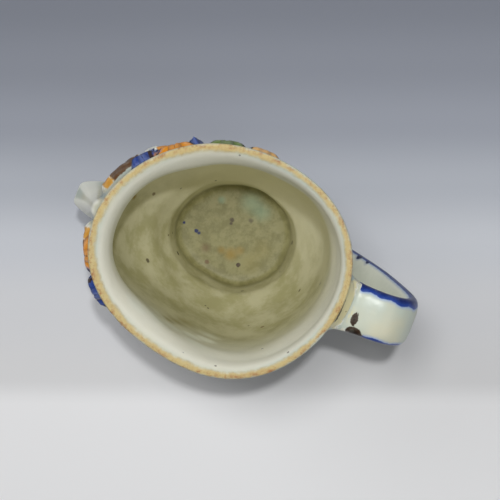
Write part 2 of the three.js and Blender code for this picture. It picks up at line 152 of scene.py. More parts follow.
# Fineness of the meshes
TURNS = 276
CROWDING = 0.42
OUTSIDE_ROWS = 205
BOWL_ROWS = 64
FLOOR_ROWS = 9
CORNER_ROWS = 4
STRAP_ROWS = 180
STRAP_SIDES = 58

# Paints and clays, in the picture's own colours from 0 to 255
COBALT = (34, 62, 140)
DEEP_COBALT = (22, 34, 82)
OCHRE = (212, 154, 52)
ORANGE = (218, 144, 0)
PALE_OCHRE = (222, 178, 112)
LEAF_GREEN = (106, 128, 66)
BROWN = (98, 64, 34)
DARK_BROWN = (58, 42, 30)
LIP_PINK = (208, 140, 108)
CREAM = (212, 204, 160)
UNPAINTED = (214, 212, 200)
STAIN_OCHRE = (142, 116, 40)
STAIN_OLIVE = (140, 130, 72)
STAIN_TEAL = (128, 158, 132)
# Painted light: a near white laid for painted reflections inside and light on the strap's inner face.
PAINTED_LIGHT_WHITE = (240, 242, 228)
FAR = 20.0  # stands for out of reach of any paint, in millimetres

LEAVES = [
    # turn in degrees, colour, share of the usual size and of the usual rise
    (-92, PALE_OCHRE, 0.85, 1.0),
    (-73, LEAF_GREEN, 0.95, 1.1),
    (-47.5, ORANGE, 0.95, 1.3),
    (-32, COBALT, 0.66, 1.6),
    (19, ORANGE, 0.85, 1.2),
    (36, COBALT, 0.85, 1.8),
    (55, OCHRE, 0.95, 1.1),
    (74, LEAF_GREEN, 0.95, 1.0),
    (92, COBALT, 0.9, 1.0),
]


def clamp01(value):
    return np.clip(value, 0.0, 1.0)


def ease(value, low, high):
    share = clamp01((value - low) / (high - low))
    return share * share * (3 - 2 * share)


def ridge(distance, half):
    return np.exp(-((distance / half) ** 2))


def mound(across, up, wide, tall):
    """A soft oval mound, 1 in its middle and 0 from its edge outwards."""
    return clamp01(1 - (across / wide) ** 2 - (up / tall) ** 2) ** 2


def plain_radius(height):
    """Plain outside radius of the bowl and foot, before its plan is made oval."""
    waist = WAIST_DIAMETER / 2
    down = clamp01((WAIST_HEIGHT - height) / (WAIST_HEIGHT - FOOT_EDGE))
    foot = waist + (FOOT_DIAMETER / 2 - waist) * down**FOOT_BEND
    up = clamp01((height - WAIST_HEIGHT) / (HEIGHT - WAIST_HEIGHT))
    belly = BELLY_SHARE * (1 - np.exp(-((up / BELLY_QUICKNESS) ** BELLY_BEND)))
    flare = (1 - BELLY_SHARE) * up**FLARE_BEND
    return np.where(height < WAIST_HEIGHT, foot, waist + (RIM_RADIUS - waist) * (belly + flare))


def plan_offset(turn, height):
    """What the oval, slightly warped plan adds to the radius."""
    above = ease(height, WAIST_HEIGHT, OVAL_HEIGHT * HEIGHT)
    share = FOOT_OVAL_SHARE + (1 - FOOT_OVAL_SHARE) * above
    regular = OVAL * np.cos(2 * turn) + PEAR * np.cos(3 * turn)
    return share * (regular + TWIST * np.sin(2 * turn) + WARP * np.sin(4 * turn))


def mask_swell(turn, height):
    """The broad swelling of the mask, which the inside of the wall follows too."""
    around = np.exp(-(((np.degrees(turn) - SWELL.turn) / SWELL.half_turn) ** 4))
    upright = ridge(height / UNIT - SWELL.level, SWELL.spread)
    below_rim = 1 - ease(height, SWELL.end * UNIT, HEIGHT)
    return SWELL.rise * UNIT * around * upright * below_rim


def across_mask(turn):
    return np.abs(turn - MASK_TURN) * RIM_RADIUS / UNIT


def across_from(turn, degrees):
    return (turn - math.radians(degrees)) * RIM_RADIUS / UNIT


def brow_mask(across, up):
    along = clamp01((across - BROW.inner) / (BROW.outer - BROW.inner))
    middle = BROW.level + BROW.arch * np.sin(np.pi * along)
    inner = ease(across, BROW.inner - BROW.fade, BROW.inner + BROW.fade)
    outer = 1 - ease(across, BROW.outer - BROW.fade, BROW.outer + BROW.fade)
    return inner * outer * ridge(up - middle, BROW.half)


def brow(across, up):
    """A thick brow, combed outwards in long hairs."""
    hairs = 1 + 0.07 * np.cos(BROW.hairs * (up - BROW.level) - 0.5 * across)
    return BROW.rise * brow_mask(across, up) * hairs


def eye(across, up):
    x = across - EYE.across
    y = up - EYE.level
    socket = SOCKET.depth * mound(x, y, SOCKET.spread * EYE.wide, SOCKET.spread * EYE.tall)
    ball = EYE.rise * np.sqrt(mound(x, y, EYE.wide, EYE.tall))
    rim = np.hypot(x / EYE.wide, y / EYE.tall) - 1
    upper = 0.6 + 0.8 * ease(y, -1, 1)
    iris = 0.18 * ridge(np.hypot(x, y) - EYE.iris, 0.45)
    return ball - socket + upper * LID.rise * ridge(rim, LID.half) - iris


def nose(across, up):
    """A long nose that widens and rises from its bridge to its tip, with a wing at each side."""
    down = clamp01((NOSE.top - up) / (NOSE.top - NOSE.tip))
    half = NOSE.bridge + (NOSE.end - NOSE.bridge) * down**2
    height = NOSE.start + (NOSE.rise - NOSE.start) * down**1.5
    ends = ease(up, NOSE.base, NOSE.tip) * (1 - ease(up, NOSE.top, NOSE.top + NOSE.fade))
    section = clamp01(NOSE_SECTION.fullness * (1 - (across / half) ** 2)) ** NOSE_SECTION.bend
    x = across - NOSTRIL.across
    wing = NOSTRIL.rise * mound(x, up - NOSTRIL.level, NOSTRIL.radius, NOSTRIL.radius)
    return np.maximum(height * ends * section, wing)


def nostril_hole(across, up):
    x = across - 0.6 * NOSTRIL.across
    return NOSTRIL.hole * mound(x, up - NOSE.base - 1.6, 1.5, 1.1)


def cheek(across, up):
    return CHEEK.rise * mound(across - CHEEK.across, up - CHEEK.level, CHEEK.wide, CHEEK.tall)


def moustache_mask(across, up):
    """Half of the moustache, 1 along its middle, and how far a place is across it."""
    along = clamp01(across / MOUSTACHE.reach)
    fall = MOUSTACHE.sag * np.sin(0.6 * np.pi * along)
    middle = MOUSTACHE.level - fall + MOUSTACHE.curl * along**5
    half = MOUSTACHE.half * (1 - MOUSTACHE.taper * along)
    end = 1 - ease(across, MOUSTACHE.reach - MOUSTACHE.fade, MOUSTACHE.reach + MOUSTACHE.fade)
    return end * ridge(up - middle, half), (up - middle) / half


def moustache(across, up):
    mask, side = moustache_mask(across, up)
    parting = 1 - PARTING.depth * (1 - ease(across, 0, PARTING.half))
    strands = 1 + 0.1 * np.cos(2 * np.pi * 1.6 * side + 0.4 * across)
    return MOUSTACHE.rise * parting * mask * strands


def lower_lip(across, up):
    return LOWER_LIP.rise * mound(across, up - LOWER_LIP.level, LOWER_LIP.wide, LOWER_LIP.tall)


def mouth_line(across, up):
    sides = 1 - ease(across, 0.7 * MOUTH.wide, MOUTH.wide)
    return MOUTH.depth * ridge(up - MOUTH.level, MOUTH.half) * sides


def lock_phase(across, up, lock):
    """Counts the locks across: whole numbers on their ridges and halves in the grooves."""
    wave = np.sin(2 * np.pi * up / (LOCK_WAVE * lock.pitch))
    return (across + lock.sway * wave) / lock.pitch


def locks(across, up, lock):
    """Locks that fall in long waves, each combed in fine strands."""
    phase = lock_phase(across, up, lock)
    strands = STRAND_DEPTH * np.cos(2 * np.pi * (STRANDS * phase + 0.15 * np.sin(up)))
    return 0.5 * lock.depth * np.cos(2 * np.pi * phase) + strands


def beard_mask(across, up, degrees):
    past_chin = across - BEARD.chin
    rise = 0.5 * (past_chin + np.hypot(past_chin, 6.0))
    ends = 0.9 * np.cos(2 * np.pi * lock_phase(across, up, BEARD_LOCK))
    top = BEARD.top - 1 + BEARD.climb * rise + ends
    under = 1 - ease(up, top - BEARD.edge, top)
    above = ease(up, BEARD.bottom, BEARD.bottom + BEARD.tips)
    sides = 1 - ease(np.abs(degrees), BEARD_SIDE.start, BEARD_SIDE.end)
    return under * above * sides


def beard(across, up, degrees):
    return beard_mask(across, up, degrees) * (BEARD.rise + locks(across, up, BEARD_LOCK))


def ear(across, up):
    """A pointed ear, laid back against the hair, with a hollow along its middle."""
    y = up - EAR.level
    upwards = (y + EAR.tall) / (2 * EAR.tall)
    within = (upwards > 0) & (upwards < 1)
    taper = np.sin(np.pi * clamp01(upwards) ** EAR_OUTLINE.lowness)
    half = EAR.wide * np.maximum(taper, 1e-3) ** EAR_OUTLINE.fullness
    inside = clamp01(1 - ((across - EAR.across - EAR.tilt * y) / half) ** 2)
    lobe = ease(upwards, 0, EAR_OUTLINE.lobe)
    dish = EAR.hollow * inside**3 * ridge(y, EAR_OUTLINE.dish * EAR.tall)
    return within * (EAR.rise * lobe * inside**EAR_OUTLINE.edge - dish)


def temple_lock(across, up):
    """A lock of hair rolled up over the temple, with the groove of its coil."""
    x = across - TEMPLE.across
    y = up - TEMPLE.level
    body = np.sqrt(mound(x, y, TEMPLE.wide, TEMPLE.tall))
    winding = 2 * np.pi * np.hypot(x, y) / TEMPLE.coil + np.arctan2(y, x)
    return TEMPLE.rise * body + TEMPLE.depth * body * np.cos(winding)


def hair_mask(up, degrees):
    turn = np.abs(degrees)
    front = ease(turn, HAIR_SIDE.start, HAIR_SIDE.start + HAIR_SIDE.fade)
    back = 1 - ease(turn, HAIR_SIDE.behind, HAIR_SIDE.end)
    above = ease(up, HAIR.bottom, HAIR.bottom + HAIR.tips)
    under = 1 - ease(up, HAIR.top - HAIR.edge, HAIR.top)
    return front * back * above * under


def hair(across, up, degrees):
    return hair_mask(up, degrees) * (HAIR.rise + locks(across, up, HAIR_LOCK))


def leaf_inside(x, y):
    """One lobed, toothed vine leaf: 1 in its middle, 0 at its outline and less outside it."""
    angle = np.arctan2(x, y)
    lobe = np.abs(np.cos(LEAF.lobes * angle / 2)) ** LEAF.roundness
    teeth = 1 + LEAF.tooth * np.cos(LEAF.teeth * angle)
    return 1 - np.hypot(x, y) / (LEAF.size * teeth * (1 - LEAF.notch + LEAF.notch * lobe))


def vein_distance(x, y):
    """Distance from the nearest of a leaf's veins, one to the tip of each lobe."""
    step = 2 * np.pi / LEAF.lobes
    angle = np.arctan2(x, y)
    off = angle - step * np.round(angle / step)
    return np.hypot(x, y) * np.abs(np.sin(off))


def wreath_places(turn, up):
    """Places across and up from each leaf's middle, on a leaf of the usual size."""
    for degrees, colour, size, rise in LEAVES:
        yield across_from(turn, degrees) / size, (up - WREATH_LEVEL) / size, colour, size, rise


def wreath(turn, up):
    height = np.zeros_like(turn)
    for x, y, _, _, rise in wreath_places(turn, up):
        inside = leaf_inside(x, y)
        vein = LEAF_VEIN.rise * ridge(vein_distance(x, y), LEAF_VEIN.half) * ease(inside, 0, LEAF_VEIN.fade)
        height = np.maximum(height, rise * LEAF.rise * ease(inside, 0, LEAF.bevel) - vein)
    return height


def berries(turn, up):
    """Places across and up from each grape of each bunch, one fewer in each row down."""
    for degrees in GRAPES.turns:
        for row in range(GRAPES.rows):
            count = GRAPES.rows - row
            y = up - GRAPES.level + row * GRAPE.row_pitch
            for berry in range(count):
                yield across_from(turn, degrees) - (berry - (count - 1) / 2) * GRAPE.pitch, y


def grapes(turn, up):
    rise = np.zeros_like(turn)
    for x, y in berries(turn, up):
        rise = np.maximum(rise, GRAPE.rise * np.sqrt(mound(x, y, GRAPE.radius, GRAPE.radius)))
    return rise


def lappet_inside(turn, height):
    """Upright leaves around the foot: how far up a place is, its leaf's middle and outline."""
    up = clamp01((height - FOOT_EDGE) / (WAIST_HEIGHT - FOOT_EDGE))
    middle = np.abs(np.cos(LAPPET.count * turn / 2))
    return up, middle, LAPPET.shoulder + LAPPET.reach * middle


def lappets(turn, height):
    up, middle, outline = lappet_inside(turn, height)
    inside = 1 - ease(up, outline, outline + LAPPET.edge)
    body = LAPPET.valley + (1 - LAPPET.valley) * middle
    return LAPPET.rise * ease(up, 0, LAPPET.base) * inside * body * (1 - up**3)


def joint_swell(turn, height):
    """Clay smoothed out from the strap's two ends onto the plain back."""
    from_back = (np.pi - np.abs(turn)) * plain_radius(height)
    tall = JOINT.spread * STRAP_THICKNESS
    upper = mound(from_back, height - (HEIGHT - HANDLE_DROP), STRAP_WIDTH, tall)
    lower = mound(from_back, height - HANDLE_LOW, STRAP_WIDTH, tall)
    below_rim = 1 - ease(height, HEIGHT - HANDLE_DROP / 2, HEIGHT - EDGE_ROUND)
    return JOINT.swell * (upper + lower) * below_rim


def slip_mask(turn):
    """Where around the back the slip between the lip and the strap's root is."""
    across = RIM_RADIUS * np.sin(turn) - SLIP.middle
    on_back = np.cos(turn) < 0
    return on_back * (1 - ease(np.abs(across), SLIP.half - SLIP.edge / 2, SLIP.half + SLIP.edge / 2))


def slip(turn, height):
    """Clay that fills the corner between the lip and the top of the strap."""
    down = HEIGHT - height
    flare = clamp01(down / SLIP.deep) ** 1.7
    return SLIP.rise * flare * (1 - ease(down, SLIP.deep + 1, SLIP.end)) * slip_mask(turn)


def carving(turn, height):
    """All the carving of the outside, in millimetres."""
    up = height / UNIT
    across = across_mask(turn)
    degrees = np.degrees(turn)
    face = brow(across, up) + eye(across, up) + cheek(across, up) + lower_lip(across, up)
    face = face - nostril_hole(across, up) - mouth_line(across, up)
    profile = np.maximum(blurred(nose(across, up), 2, 1), moustache(across, up))
    falling_hair = np.maximum(beard(across, up, degrees), hair(across, up, degrees))
    head = np.maximum.reduce([face + profile, ear(across, up), temple_lock(across, up)]) + falling_hair
    dressed = np.maximum.reduce([head, wreath(turn, up), grapes(turn, up)])
    below_rim = 1 - ease(height, HEIGHT - PLAIN_RIM, HEIGHT)
    carved = below_rim * (UNIT * dressed + lappets(turn, height) + joint_swell(turn, height))
    return carved + slip(turn, height)


def bowl_radius(height):
    """Inside radius of the bowl and of the well in the foot."""
    well_radius = WELL_DIAMETER / 2
    down = clamp01((WELL_HEIGHT - height) / (WELL_HEIGHT - FLOOR_HEIGHT))
    up = np.maximum(0, height - WELL_HEIGHT) / SHOULDER
    step = (plain_radius(WELL_HEIGHT) - WALL - well_radius) * np.exp(-up)
    thick = SHOULDER_CLAY * up * np.exp(1 - up)
    bowl = plain_radius(height) - WALL - step - thick
    return np.where(height < WELL_HEIGHT, well_radius - WELL_DRAFT * down, bowl)


def hand_marks(turn, height):
    """Soft uneven hollows that pressing the clay into its mould left on the inside."""
    slow = np.sin(2 * turn + 0.05 * height) + np.sin(3 * turn - 0.09 * height + 1)
    lumps = np.sin(5 * turn + 0.11 * height) * np.sin(0.13 * height - 2 * turn + 0.5)
    small = np.sin(9 * turn - 0.17 * height + 2) * np.sin(0.21 * height + 4 * turn)
    below_lip = 1 - ease(height, HEIGHT - 2.2 * LIP_DEPTH, HEIGHT - LIP_DEPTH)
    front = ridge(np.degrees(turn) / MASK_HOLLOW.half_turn, 1.0)
    ledge = CHIN_LEDGE.rise * ridge(height - CHIN_LEDGE.level, CHIN_LEDGE.spread)
    hollow = MASK_HOLLOW.depth * ridge(height - MASK_HOLLOW.level, MASK_HOLLOW.spread)
    thick = WREATH_CLAY.thick * (1 + WREATH_CLAY.front * np.cos(turn))
    thick = thick * ridge(height - WREATH_CLAY.level, WREATH_CLAY.spread)
    return below_lip * (0.22 * slow + 0.25 * lumps + 0.1 * small) + front * (hollow - ledge) - thick


def quarter(count):
    return np.linspace(0, np.pi / 2, count + 1)


def body_profile():
    """Radii and heights of the mug's section, from the middle of its underside up the
    outside, over the lip and down the inside to the middle of the floor. The third column
    says how much of the outside's carving a place has, and the fourth how much of the
    inside's finish."""
    foot = FOOT_DIAMETER / 2
    rows = [(share * (foot - EDGE_ROUND), 0, 0, 0) for share in (0, 0.3, 0.6, 0.85, 0.95)]
    for angle in quarter(CORNER_ROWS):
        inset = EDGE_ROUND * (1 - math.sin(angle))
        rows.append((foot - inset, EDGE_ROUND * (1 - math.cos(angle)), 0, 0))
    edge = HEIGHT - EDGE_ROUND
    for height in np.linspace(EDGE_ROUND, edge, OUTSIDE_ROWS)[1:]:
        rows.append((float(plain_radius(height)), height, 1, 0))
    rim = float(plain_radius(HEIGHT))
    for angle in quarter(CORNER_ROWS)[1:]:
        rows.append((rim - EDGE_ROUND * (1 - math.cos(angle)), edge + EDGE_ROUND * math.sin(angle), 1, 0))
    lip_inside = rim - EDGE_ROUND - LIP
    under_lip = HEIGHT - LIP_DEPTH
    turn_in = lip_inside - float(bowl_radius(under_lip))
    for angle in quarter(3 * CORNER_ROWS):
        down = LIP_DEPTH * (1 - math.cos(angle))
        rows.append((lip_inside - turn_in * math.sin(angle), HEIGHT - down, 0, angle / quarter(1)[1]))
    fillet = FLOOR_HEIGHT + FLOOR_ROUND
    for height in np.linspace(under_lip, fillet, BOWL_ROWS)[1:]:
        rows.append((float(bowl_radius(height)), height, 0, 1))
    floor = float(bowl_radius(fillet))
    for angle in quarter(CORNER_ROWS)[1:]:
        inset = FLOOR_ROUND * (1 - math.cos(angle))
        rows.append((floor - inset, fillet - FLOOR_ROUND * math.sin(angle), 0, 1))
    for share in np.linspace(1, 0, FLOOR_ROWS)[1:]:
        rows.append((share * (floor - FLOOR_ROUND), FLOOR_HEIGHT, 0, 1))
    return np.array(rows).T


def lip_distances(radius, height):
    """Distance of each row from the middle of the lip's top, along the section."""
    steps = np.hypot(np.diff(radius), np.diff(height))
    along = np.concatenate([[0], np.cumsum(steps)])
    top = np.flatnonzero(height > HEIGHT - 1e-6)
    return along - along[top].mean()


class Paint:
    """One layer of paint over a surface: how deep each place lies inside the painted patch
    that covers it best, in millimetres and negative outside it, and that patch's colour."""

    def __init__(self, like):
        self.cover = np.full(like.shape, -FAR)
        self.colour = np.empty((*like.shape, 3))
        self.colour[:] = linear(UNPAINTED)

    def lay(self, cover, colour):
        better = cover > self.cover
        self.cover = np.where(better, cover, self.cover)
        self.colour[better] = linear(colour)


def linear(colour):
    """A colour from 0 to 255 as the light that it sends back."""
    share = np.array(colour, float) / 255
    return np.where(share <= 0.04045, share / 12.92, ((share + 0.055) / 1.055) ** 2.4)


def paint_wreath(wash, line, turn, up):
    for x, y, colour, size, _ in wreath_places(turn, up):
        inside = leaf_inside(x, y)
        deep = inside * LEAF.size * size * UNIT
        wash.lay(1.4 * deep, colour)
        drawn = DEEP_COBALT if colour == COBALT else DARK_BROWN
        outline = 0.8 - np.abs(deep - 0.1)
        line.lay(np.where(y > -0.2 * LEAF.size, outline, outline - 0.35), drawn)
        vein = 0.28 - size * UNIT * vein_distance(x, y)
        line.lay(np.where(inside > 0.2, vein, -FAR), drawn)


def paint_grapes(wash, line, turn, up):
    for x, y in berries(turn, up):
        inside = UNIT * (GRAPE.radius - np.hypot(x, y))
        wash.lay(inside, COBALT)
        line.lay(0.4 - np.abs(inside - 0.2), DEEP_COBALT)


def paint_face(wash, line, across, up):
    brow_place = 5 * (brow_mask(across, up) - 0.3)
    brown = np.minimum(across - BROW_PAINT.ochre_end, BROW_PAINT.end - across)
    wash.lay(np.minimum(brow_place, 1.2 * brown), BROWN)
    ochre = np.minimum(across - BROW_PAINT.start, BROW_PAINT.ochre_end - across)
    wash.lay(np.minimum(brow_place, 1.2 * ochre), OCHRE)
    mask, side = moustache_mask(across, up)
    wash.lay(4 * (mask - 0.35), BROWN)
    strand = 0.55 * np.cos(2 * np.pi * 1.6 * side + 0.4 * across + np.pi) - 0.15
    line.lay(np.where(mask > 0.3, strand, -FAR), DARK_BROWN)
    lower_lip = mound(across, up - LOWER_LIP.level, LOWER_LIP.wide, LOWER_LIP.tall)
    wash.lay(UNIT * 2.5 * (lower_lip - 0.25), LIP_PINK)
    x = across - EYE.across
    y = up - EYE.level
    iris = UNIT * (EYE.iris - np.hypot(x, y))
    wash.lay(iris, BROWN)
    line.lay(iris - 1.1, DARK_BROWN)
    lid = np.hypot(x / EYE.wide, y / EYE.tall) - 0.92
    upper = ease(y, 0, 1.5)
    line.lay(np.where(upper > 0.05, 0.6 * upper - np.abs(lid) * 0.8 * UNIT * EYE.tall, -FAR), BROWN)


def paint_locks(line, mask, across, up, lock, thick):
    """Loose brown strokes down the grooves of the hair."""
    phase = lock_phase(across, up, lock)
    broken = np.sin(0.55 * up + 2.4 * np.floor(phase + 0.5)) * np.sin(0.23 * up + 1.7 * np.floor(phase))
    for strand, share in ((0.5, 1.0), (0.25, 0.6), (-0.25, 0.6)):
        off = np.abs(phase - strand - np.round(phase - strand)) * lock.pitch * UNIT
        stroke = thick * share * (0.85 + 0.4 * broken) - off
        line.lay(np.where(mask > 0.35, stroke, -FAR), BROWN)


def paint_foot(wash, line, turn, height):
    up, middle, outline = lappet_inside(turn, height)
    reach = (WAIST_HEIGHT - FOOT_EDGE) * (outline - up)
    number = np.round(LAPPET.count * turn / (2 * np.pi)).astype(int) % 2
    on_foot = (up > 0.02) & (up < 0.999)
    wash.lay(np.where(on_foot & (number == 0), reach - 1.6, -FAR), OCHRE)
    wash.lay(np.where(on_foot & (number == 1), reach - 1.6, -FAR), LEAF_GREEN)
    line.lay(np.where(on_foot, 0.6 - np.abs(reach - 0.6), -FAR), COBALT)
    line.lay(0.9 - np.abs(height - 0.6 * FOOT_EDGE), COBALT)


def paint_vine(wash, line, degrees, up):
    """The stem of the wreath, a dark line just under the lip in front."""
    level = STEM.level + 0.5 * np.sin(np.radians(9 * degrees))
    ends = ease(degrees, -29, -23) * (1 - ease(degrees, -2, 2))
    stem = STEM.half * ends - np.abs(up - level) * UNIT
    line.lay(np.where(ends > 0.02, stem, -FAR), DEEP_COBALT)
    vine = 0.8 - np.abs(up - WREATH_LEVEL - 0.8 * np.sin(np.radians(11 * degrees))) * UNIT
    beside = (np.abs(degrees) > 26) & (np.abs(degrees) < 96)
    line.lay(np.where(beside, vine, -FAR), DARK_BROWN)
    tinge = ease(degrees, -22, -17) * (1 - ease(degrees, -14, -9))
    green = 1.2 * tinge - np.abs(up - level + 2) * UNIT
    wash.lay(np.where(tinge > 0.02, green, -FAR), LEAF_GREEN)


def paint_crack(line, turn, height):
    """A short dark crack between the lip and the strap's near side."""
    from_start = (math.radians(CRACK.start) - turn) % (2 * np.pi)
    across = np.where(from_start > np.pi, from_start - 2 * np.pi, from_start) * RIM_RADIUS
    down = HEIGHT - height - CRACK.top
    long = math.radians(CRACK.start - CRACK.end) * RIM_RADIUS
    along = clamp01((across * long + down * CRACK.drop) / (long**2 + CRACK.drop**2))
    apart = np.hypot(across - along * long, down - along * CRACK.drop)
    line.lay(CRACK.half * (0.7 + 0.3 * along) - apart, DARK_BROWN)


def paint_outside(turn, height):
    wash = Paint(turn)
    line = Paint(turn)
    up = height / UNIT
    across = across_mask(turn)
    degrees = np.degrees(turn)
    beard_place = beard_mask(across, up, degrees)
    groove = -np.cos(2 * np.pi * lock_phase(across, up, BEARD_LOCK))
    thin = 0.6 + 1.1 * groove
    wash.lay(np.minimum(5 * (beard_place - 0.45), thin), BROWN)
    paint_locks(line, beard_place, across, up, BEARD_LOCK, 0.9)
    paint_face(wash, line, across, up)
    hair_place = hair_mask(up, degrees) * (ear(across, up) < 0.3)
    paint_locks(line, hair_place, across, up, HAIR_LOCK, 1.35)
    paint_vine(wash, line, degrees, up)
    paint_grapes(wash, line, turn, up)
    paint_wreath(wash, line, turn, up)
    paint_foot(wash, line, turn, height)
    paint_crack(line, turn, height)
    on_slip = np.minimum(slip_mask(turn) - 0.3, 1.2 - 0.12 * (HEIGHT - height))
    wash.lay(np.where(height > HEIGHT - SLIP.end, on_slip, -FAR), CREAM)
    return wash, line


def blurred(field, rows, columns):
    """Running mean of a field over its rows and, all the way around, its columns."""
    total = np.zeros_like(field)
    for shift in range(-columns, columns + 1):
        total += np.roll(field, shift, axis=1)
    field = total / (2 * columns + 1)
    padded = np.pad(field, ((rows, rows), (0, 0)), mode="edge")
    sums = sum(padded[start : start + len(field)] for start in range(2 * rows + 1))
    return sums / (2 * rows + 1)


def body_mesh():
    """The bowl and foot as one closed surface, with its paint kept at its points."""
    radius, height, carved, inner = body_profile()
    even = np.linspace(-np.pi, np.pi, TURNS, endpoint=False)
    turns = even - CROWDING * np.sin(even)
    turn, level = np.meshgrid(turns, height)
    _, base = np.meshgrid(turns, radius)
    _, carved_share = np.meshgrid(turns, carved)
    _, inner_share = np.meshgrid(turns, inner)
    relief = carved_share * carving(turn, level)
    marks = inner_share * hand_marks(turn, level)
    plan = plan_offset(turn, level) + mask_swell(turn, level)
    near_axis = clamp01(base / (0.7 * bowl_radius(level)))
    reach = base + near_axis * (plan + marks) + relief
    points = np.stack([
        reach * np.sin(turn) - LEAN * level / HEIGHT,
        -reach * np.cos(turn),
        level,
    ], axis=-1)
    wash, line = paint_outside(turn, level)
    bare = carved_share < 0.5
    wash.cover[bare] = -FAR
    line.cover[bare & (level > FOOT_EDGE)] = -FAR
    fields = {
        "hollow": np.clip((blurred(relief, 3, 3) - relief) / 0.5, -1, 1) * carved_share,
        "inner": inner_share,
        "lip": np.repeat(lip_distances(radius, height)[:, None], TURNS, axis=1),
        "wash": wash.cover,
        "line": line.cover,
        "original": np.ones_like(level),
    }
    colours = {"wash_colour": wash.colour, "line_colour": line.colour}
    return surface_object("mug body", points, fields, colours, pole_rows=True)


def surface_object(name, points, fields, colours, pole_rows):
    """A closed surface from rings of points. Rings go from the bottom outwards and up. With
    pole_rows the first and last rings are single points, and without they are capped flat."""
    rings, sides = points.shape[:2]
    first = 1 if pole_rows else 0
    last = rings - 1 if pole_rows else rings
    ring_points = points[first:last].reshape(-1, 3)
    caps = np.array([points[0].mean(0), points[-1].mean(0)])
    vertices = np.concatenate([ring_points, caps])
    bottom = len(ring_points)
    faces = []
    for ring in range(last - first - 1):
        for side in range(sides):
            a = ring * sides + side
            b = ring * sides + (side + 1) % sides
            faces.append((a, b, b + sides, a + sides))
    end = (last - first - 1) * sides
    for side in range(sides):
        after = (side + 1) % sides
        faces.append((bottom, after, side))
        faces.append((bottom + 1, end + side, end + after))
    mesh = bpy.data.meshes.new(name)
    mesh.from_pydata((vertices * MM).tolist(), [], faces)
    mesh.update()

    def at_points(grid):
        flat = grid[first:last].reshape(-1, *grid.shape[2:])
        ends = np.stack([grid[0].mean(0), grid[-1].mean(0)])
        return np.concatenate([flat, ends]).astype(np.float32)

    for key, grid in fields.items():
        mesh.attributes.new(key, "FLOAT", "POINT").data.foreach_set("value", at_points(grid))
    for key, grid in colours.items():
        solid = np.concatenate([grid, np.ones((*grid.shape[:2], 1))], axis=2)
        mesh.attributes.new(key, "FLOAT_COLOR", "POINT").data.foreach_set("color", at_points(solid).ravel())
    thing = bpy.data.objects.new(name, mesh)
    bpy.context.scene.collection.objects.link(thing)
    return thing


def strap_points():
    """Places along the strap's middle line, out from the wall and up, from its upper end."""
    upper = HEIGHT - HANDLE_DROP

    def back(height):
        return float(plain_radius(height) + plan_offset(np.pi, height))

    start = back(upper)
    end = back(HANDLE_LOW)
    far = back(HEIGHT) + HANDLE_REACH - STRAP_THICKNESS / 2

    def out(base, share):
        return base + (far - base) * share

    def down(share):
        return upper + (HANDLE_LOW - upper) * share

    return np.array([
        (start - STRAP_BITE, upper - 0.8 * HANDLE_CREST),
        (out(start, 0.2), upper + 0.1 * HANDLE_CREST),
        (out(start, 0.45), upper + 0.7 * HANDLE_CREST),
        (out(start, 0.7), upper + 0.6 * HANDLE_CREST),
        (out(start, 0.9), down(0.03)),
        (out(start, 1), down(0.1)),
        (out(end, 0.99), down(0.18)),
        (out(end, 0.92), down(0.31)),
        (out(end, 0.82), down(0.45)),
        (out(end, 0.71), down(0.58)),
        (out(end, 0.56), down(0.71)),
        (out(end, 0.39), down(0.84)),
        (out(end, 0.2), down(0.95)),
        (end - STRAP_BITE, HANDLE_LOW - 0.5 * HANDLE_CREST),
    ])


def smooth_line(places, count):
    """Evenly spaced places on a smooth curve through the given ones."""
    ends = np.array([2 * places[0] - places[1], 2 * places[-1] - places[-2]])
    knots = np.concatenate([ends[:1], places, ends[1:]])
    spans = np.linalg.norm(np.diff(knots, axis=0), axis=1) ** 0.5
    fine = []
    for k in range(1, len(knots) - 2):
        before, here, after, beyond = knots[k - 1 : k + 3]
        d0, d1, d2 = spans[k - 1 : k + 2]
        leave = d1 * ((here - before) / d0 - (after - before) / (d0 + d1) + (after - here) / d1)
        reach = d1 * ((after - here) / d1 - (beyond - here) / (d1 + d2) + (beyond - after) / d2)
        t = np.linspace(0, 1, 24, endpoint=False)[:, None]
        fine.append(
            here * (1 + t * t * (2 * t - 3)) + leave * t * (1 - t) ** 2
            + after * t * t * (3 - 2 * t) + reach * t * t * (t - 1)
        )
    fine = np.concatenate(fine + [places[-1:]])
    along = np.concatenate([[0], np.cumsum(np.linalg.norm(np.diff(fine, axis=0), axis=1))])
    even = np.linspace(0, along[-1], count)
    return np.stack([np.interp(even, along, fine[:, k]) for k in range(2)], axis=1), even


def strap_section():
    """The strap's section: across its width and through its thickness, with round edges and
    slightly crowned faces, starting in the middle of the outer face."""
    angle = np.linspace(0, 2 * np.pi, STRAP_SIDES, endpoint=False)
    wide = STRAP_WIDTH / 2
    thick = STRAP_THICKNESS / 2
    across = wide * np.sign(np.sin(angle)) * np.abs(np.sin(angle)) ** 0.62
    flat = (1 - np.abs(across / wide) ** 4.5) ** (1 / 2.4)
    through = np.sign(np.cos(angle)) * flat * (thick + STRAP_CROWN * (1 - (across / wide) ** 2))
    return across, through


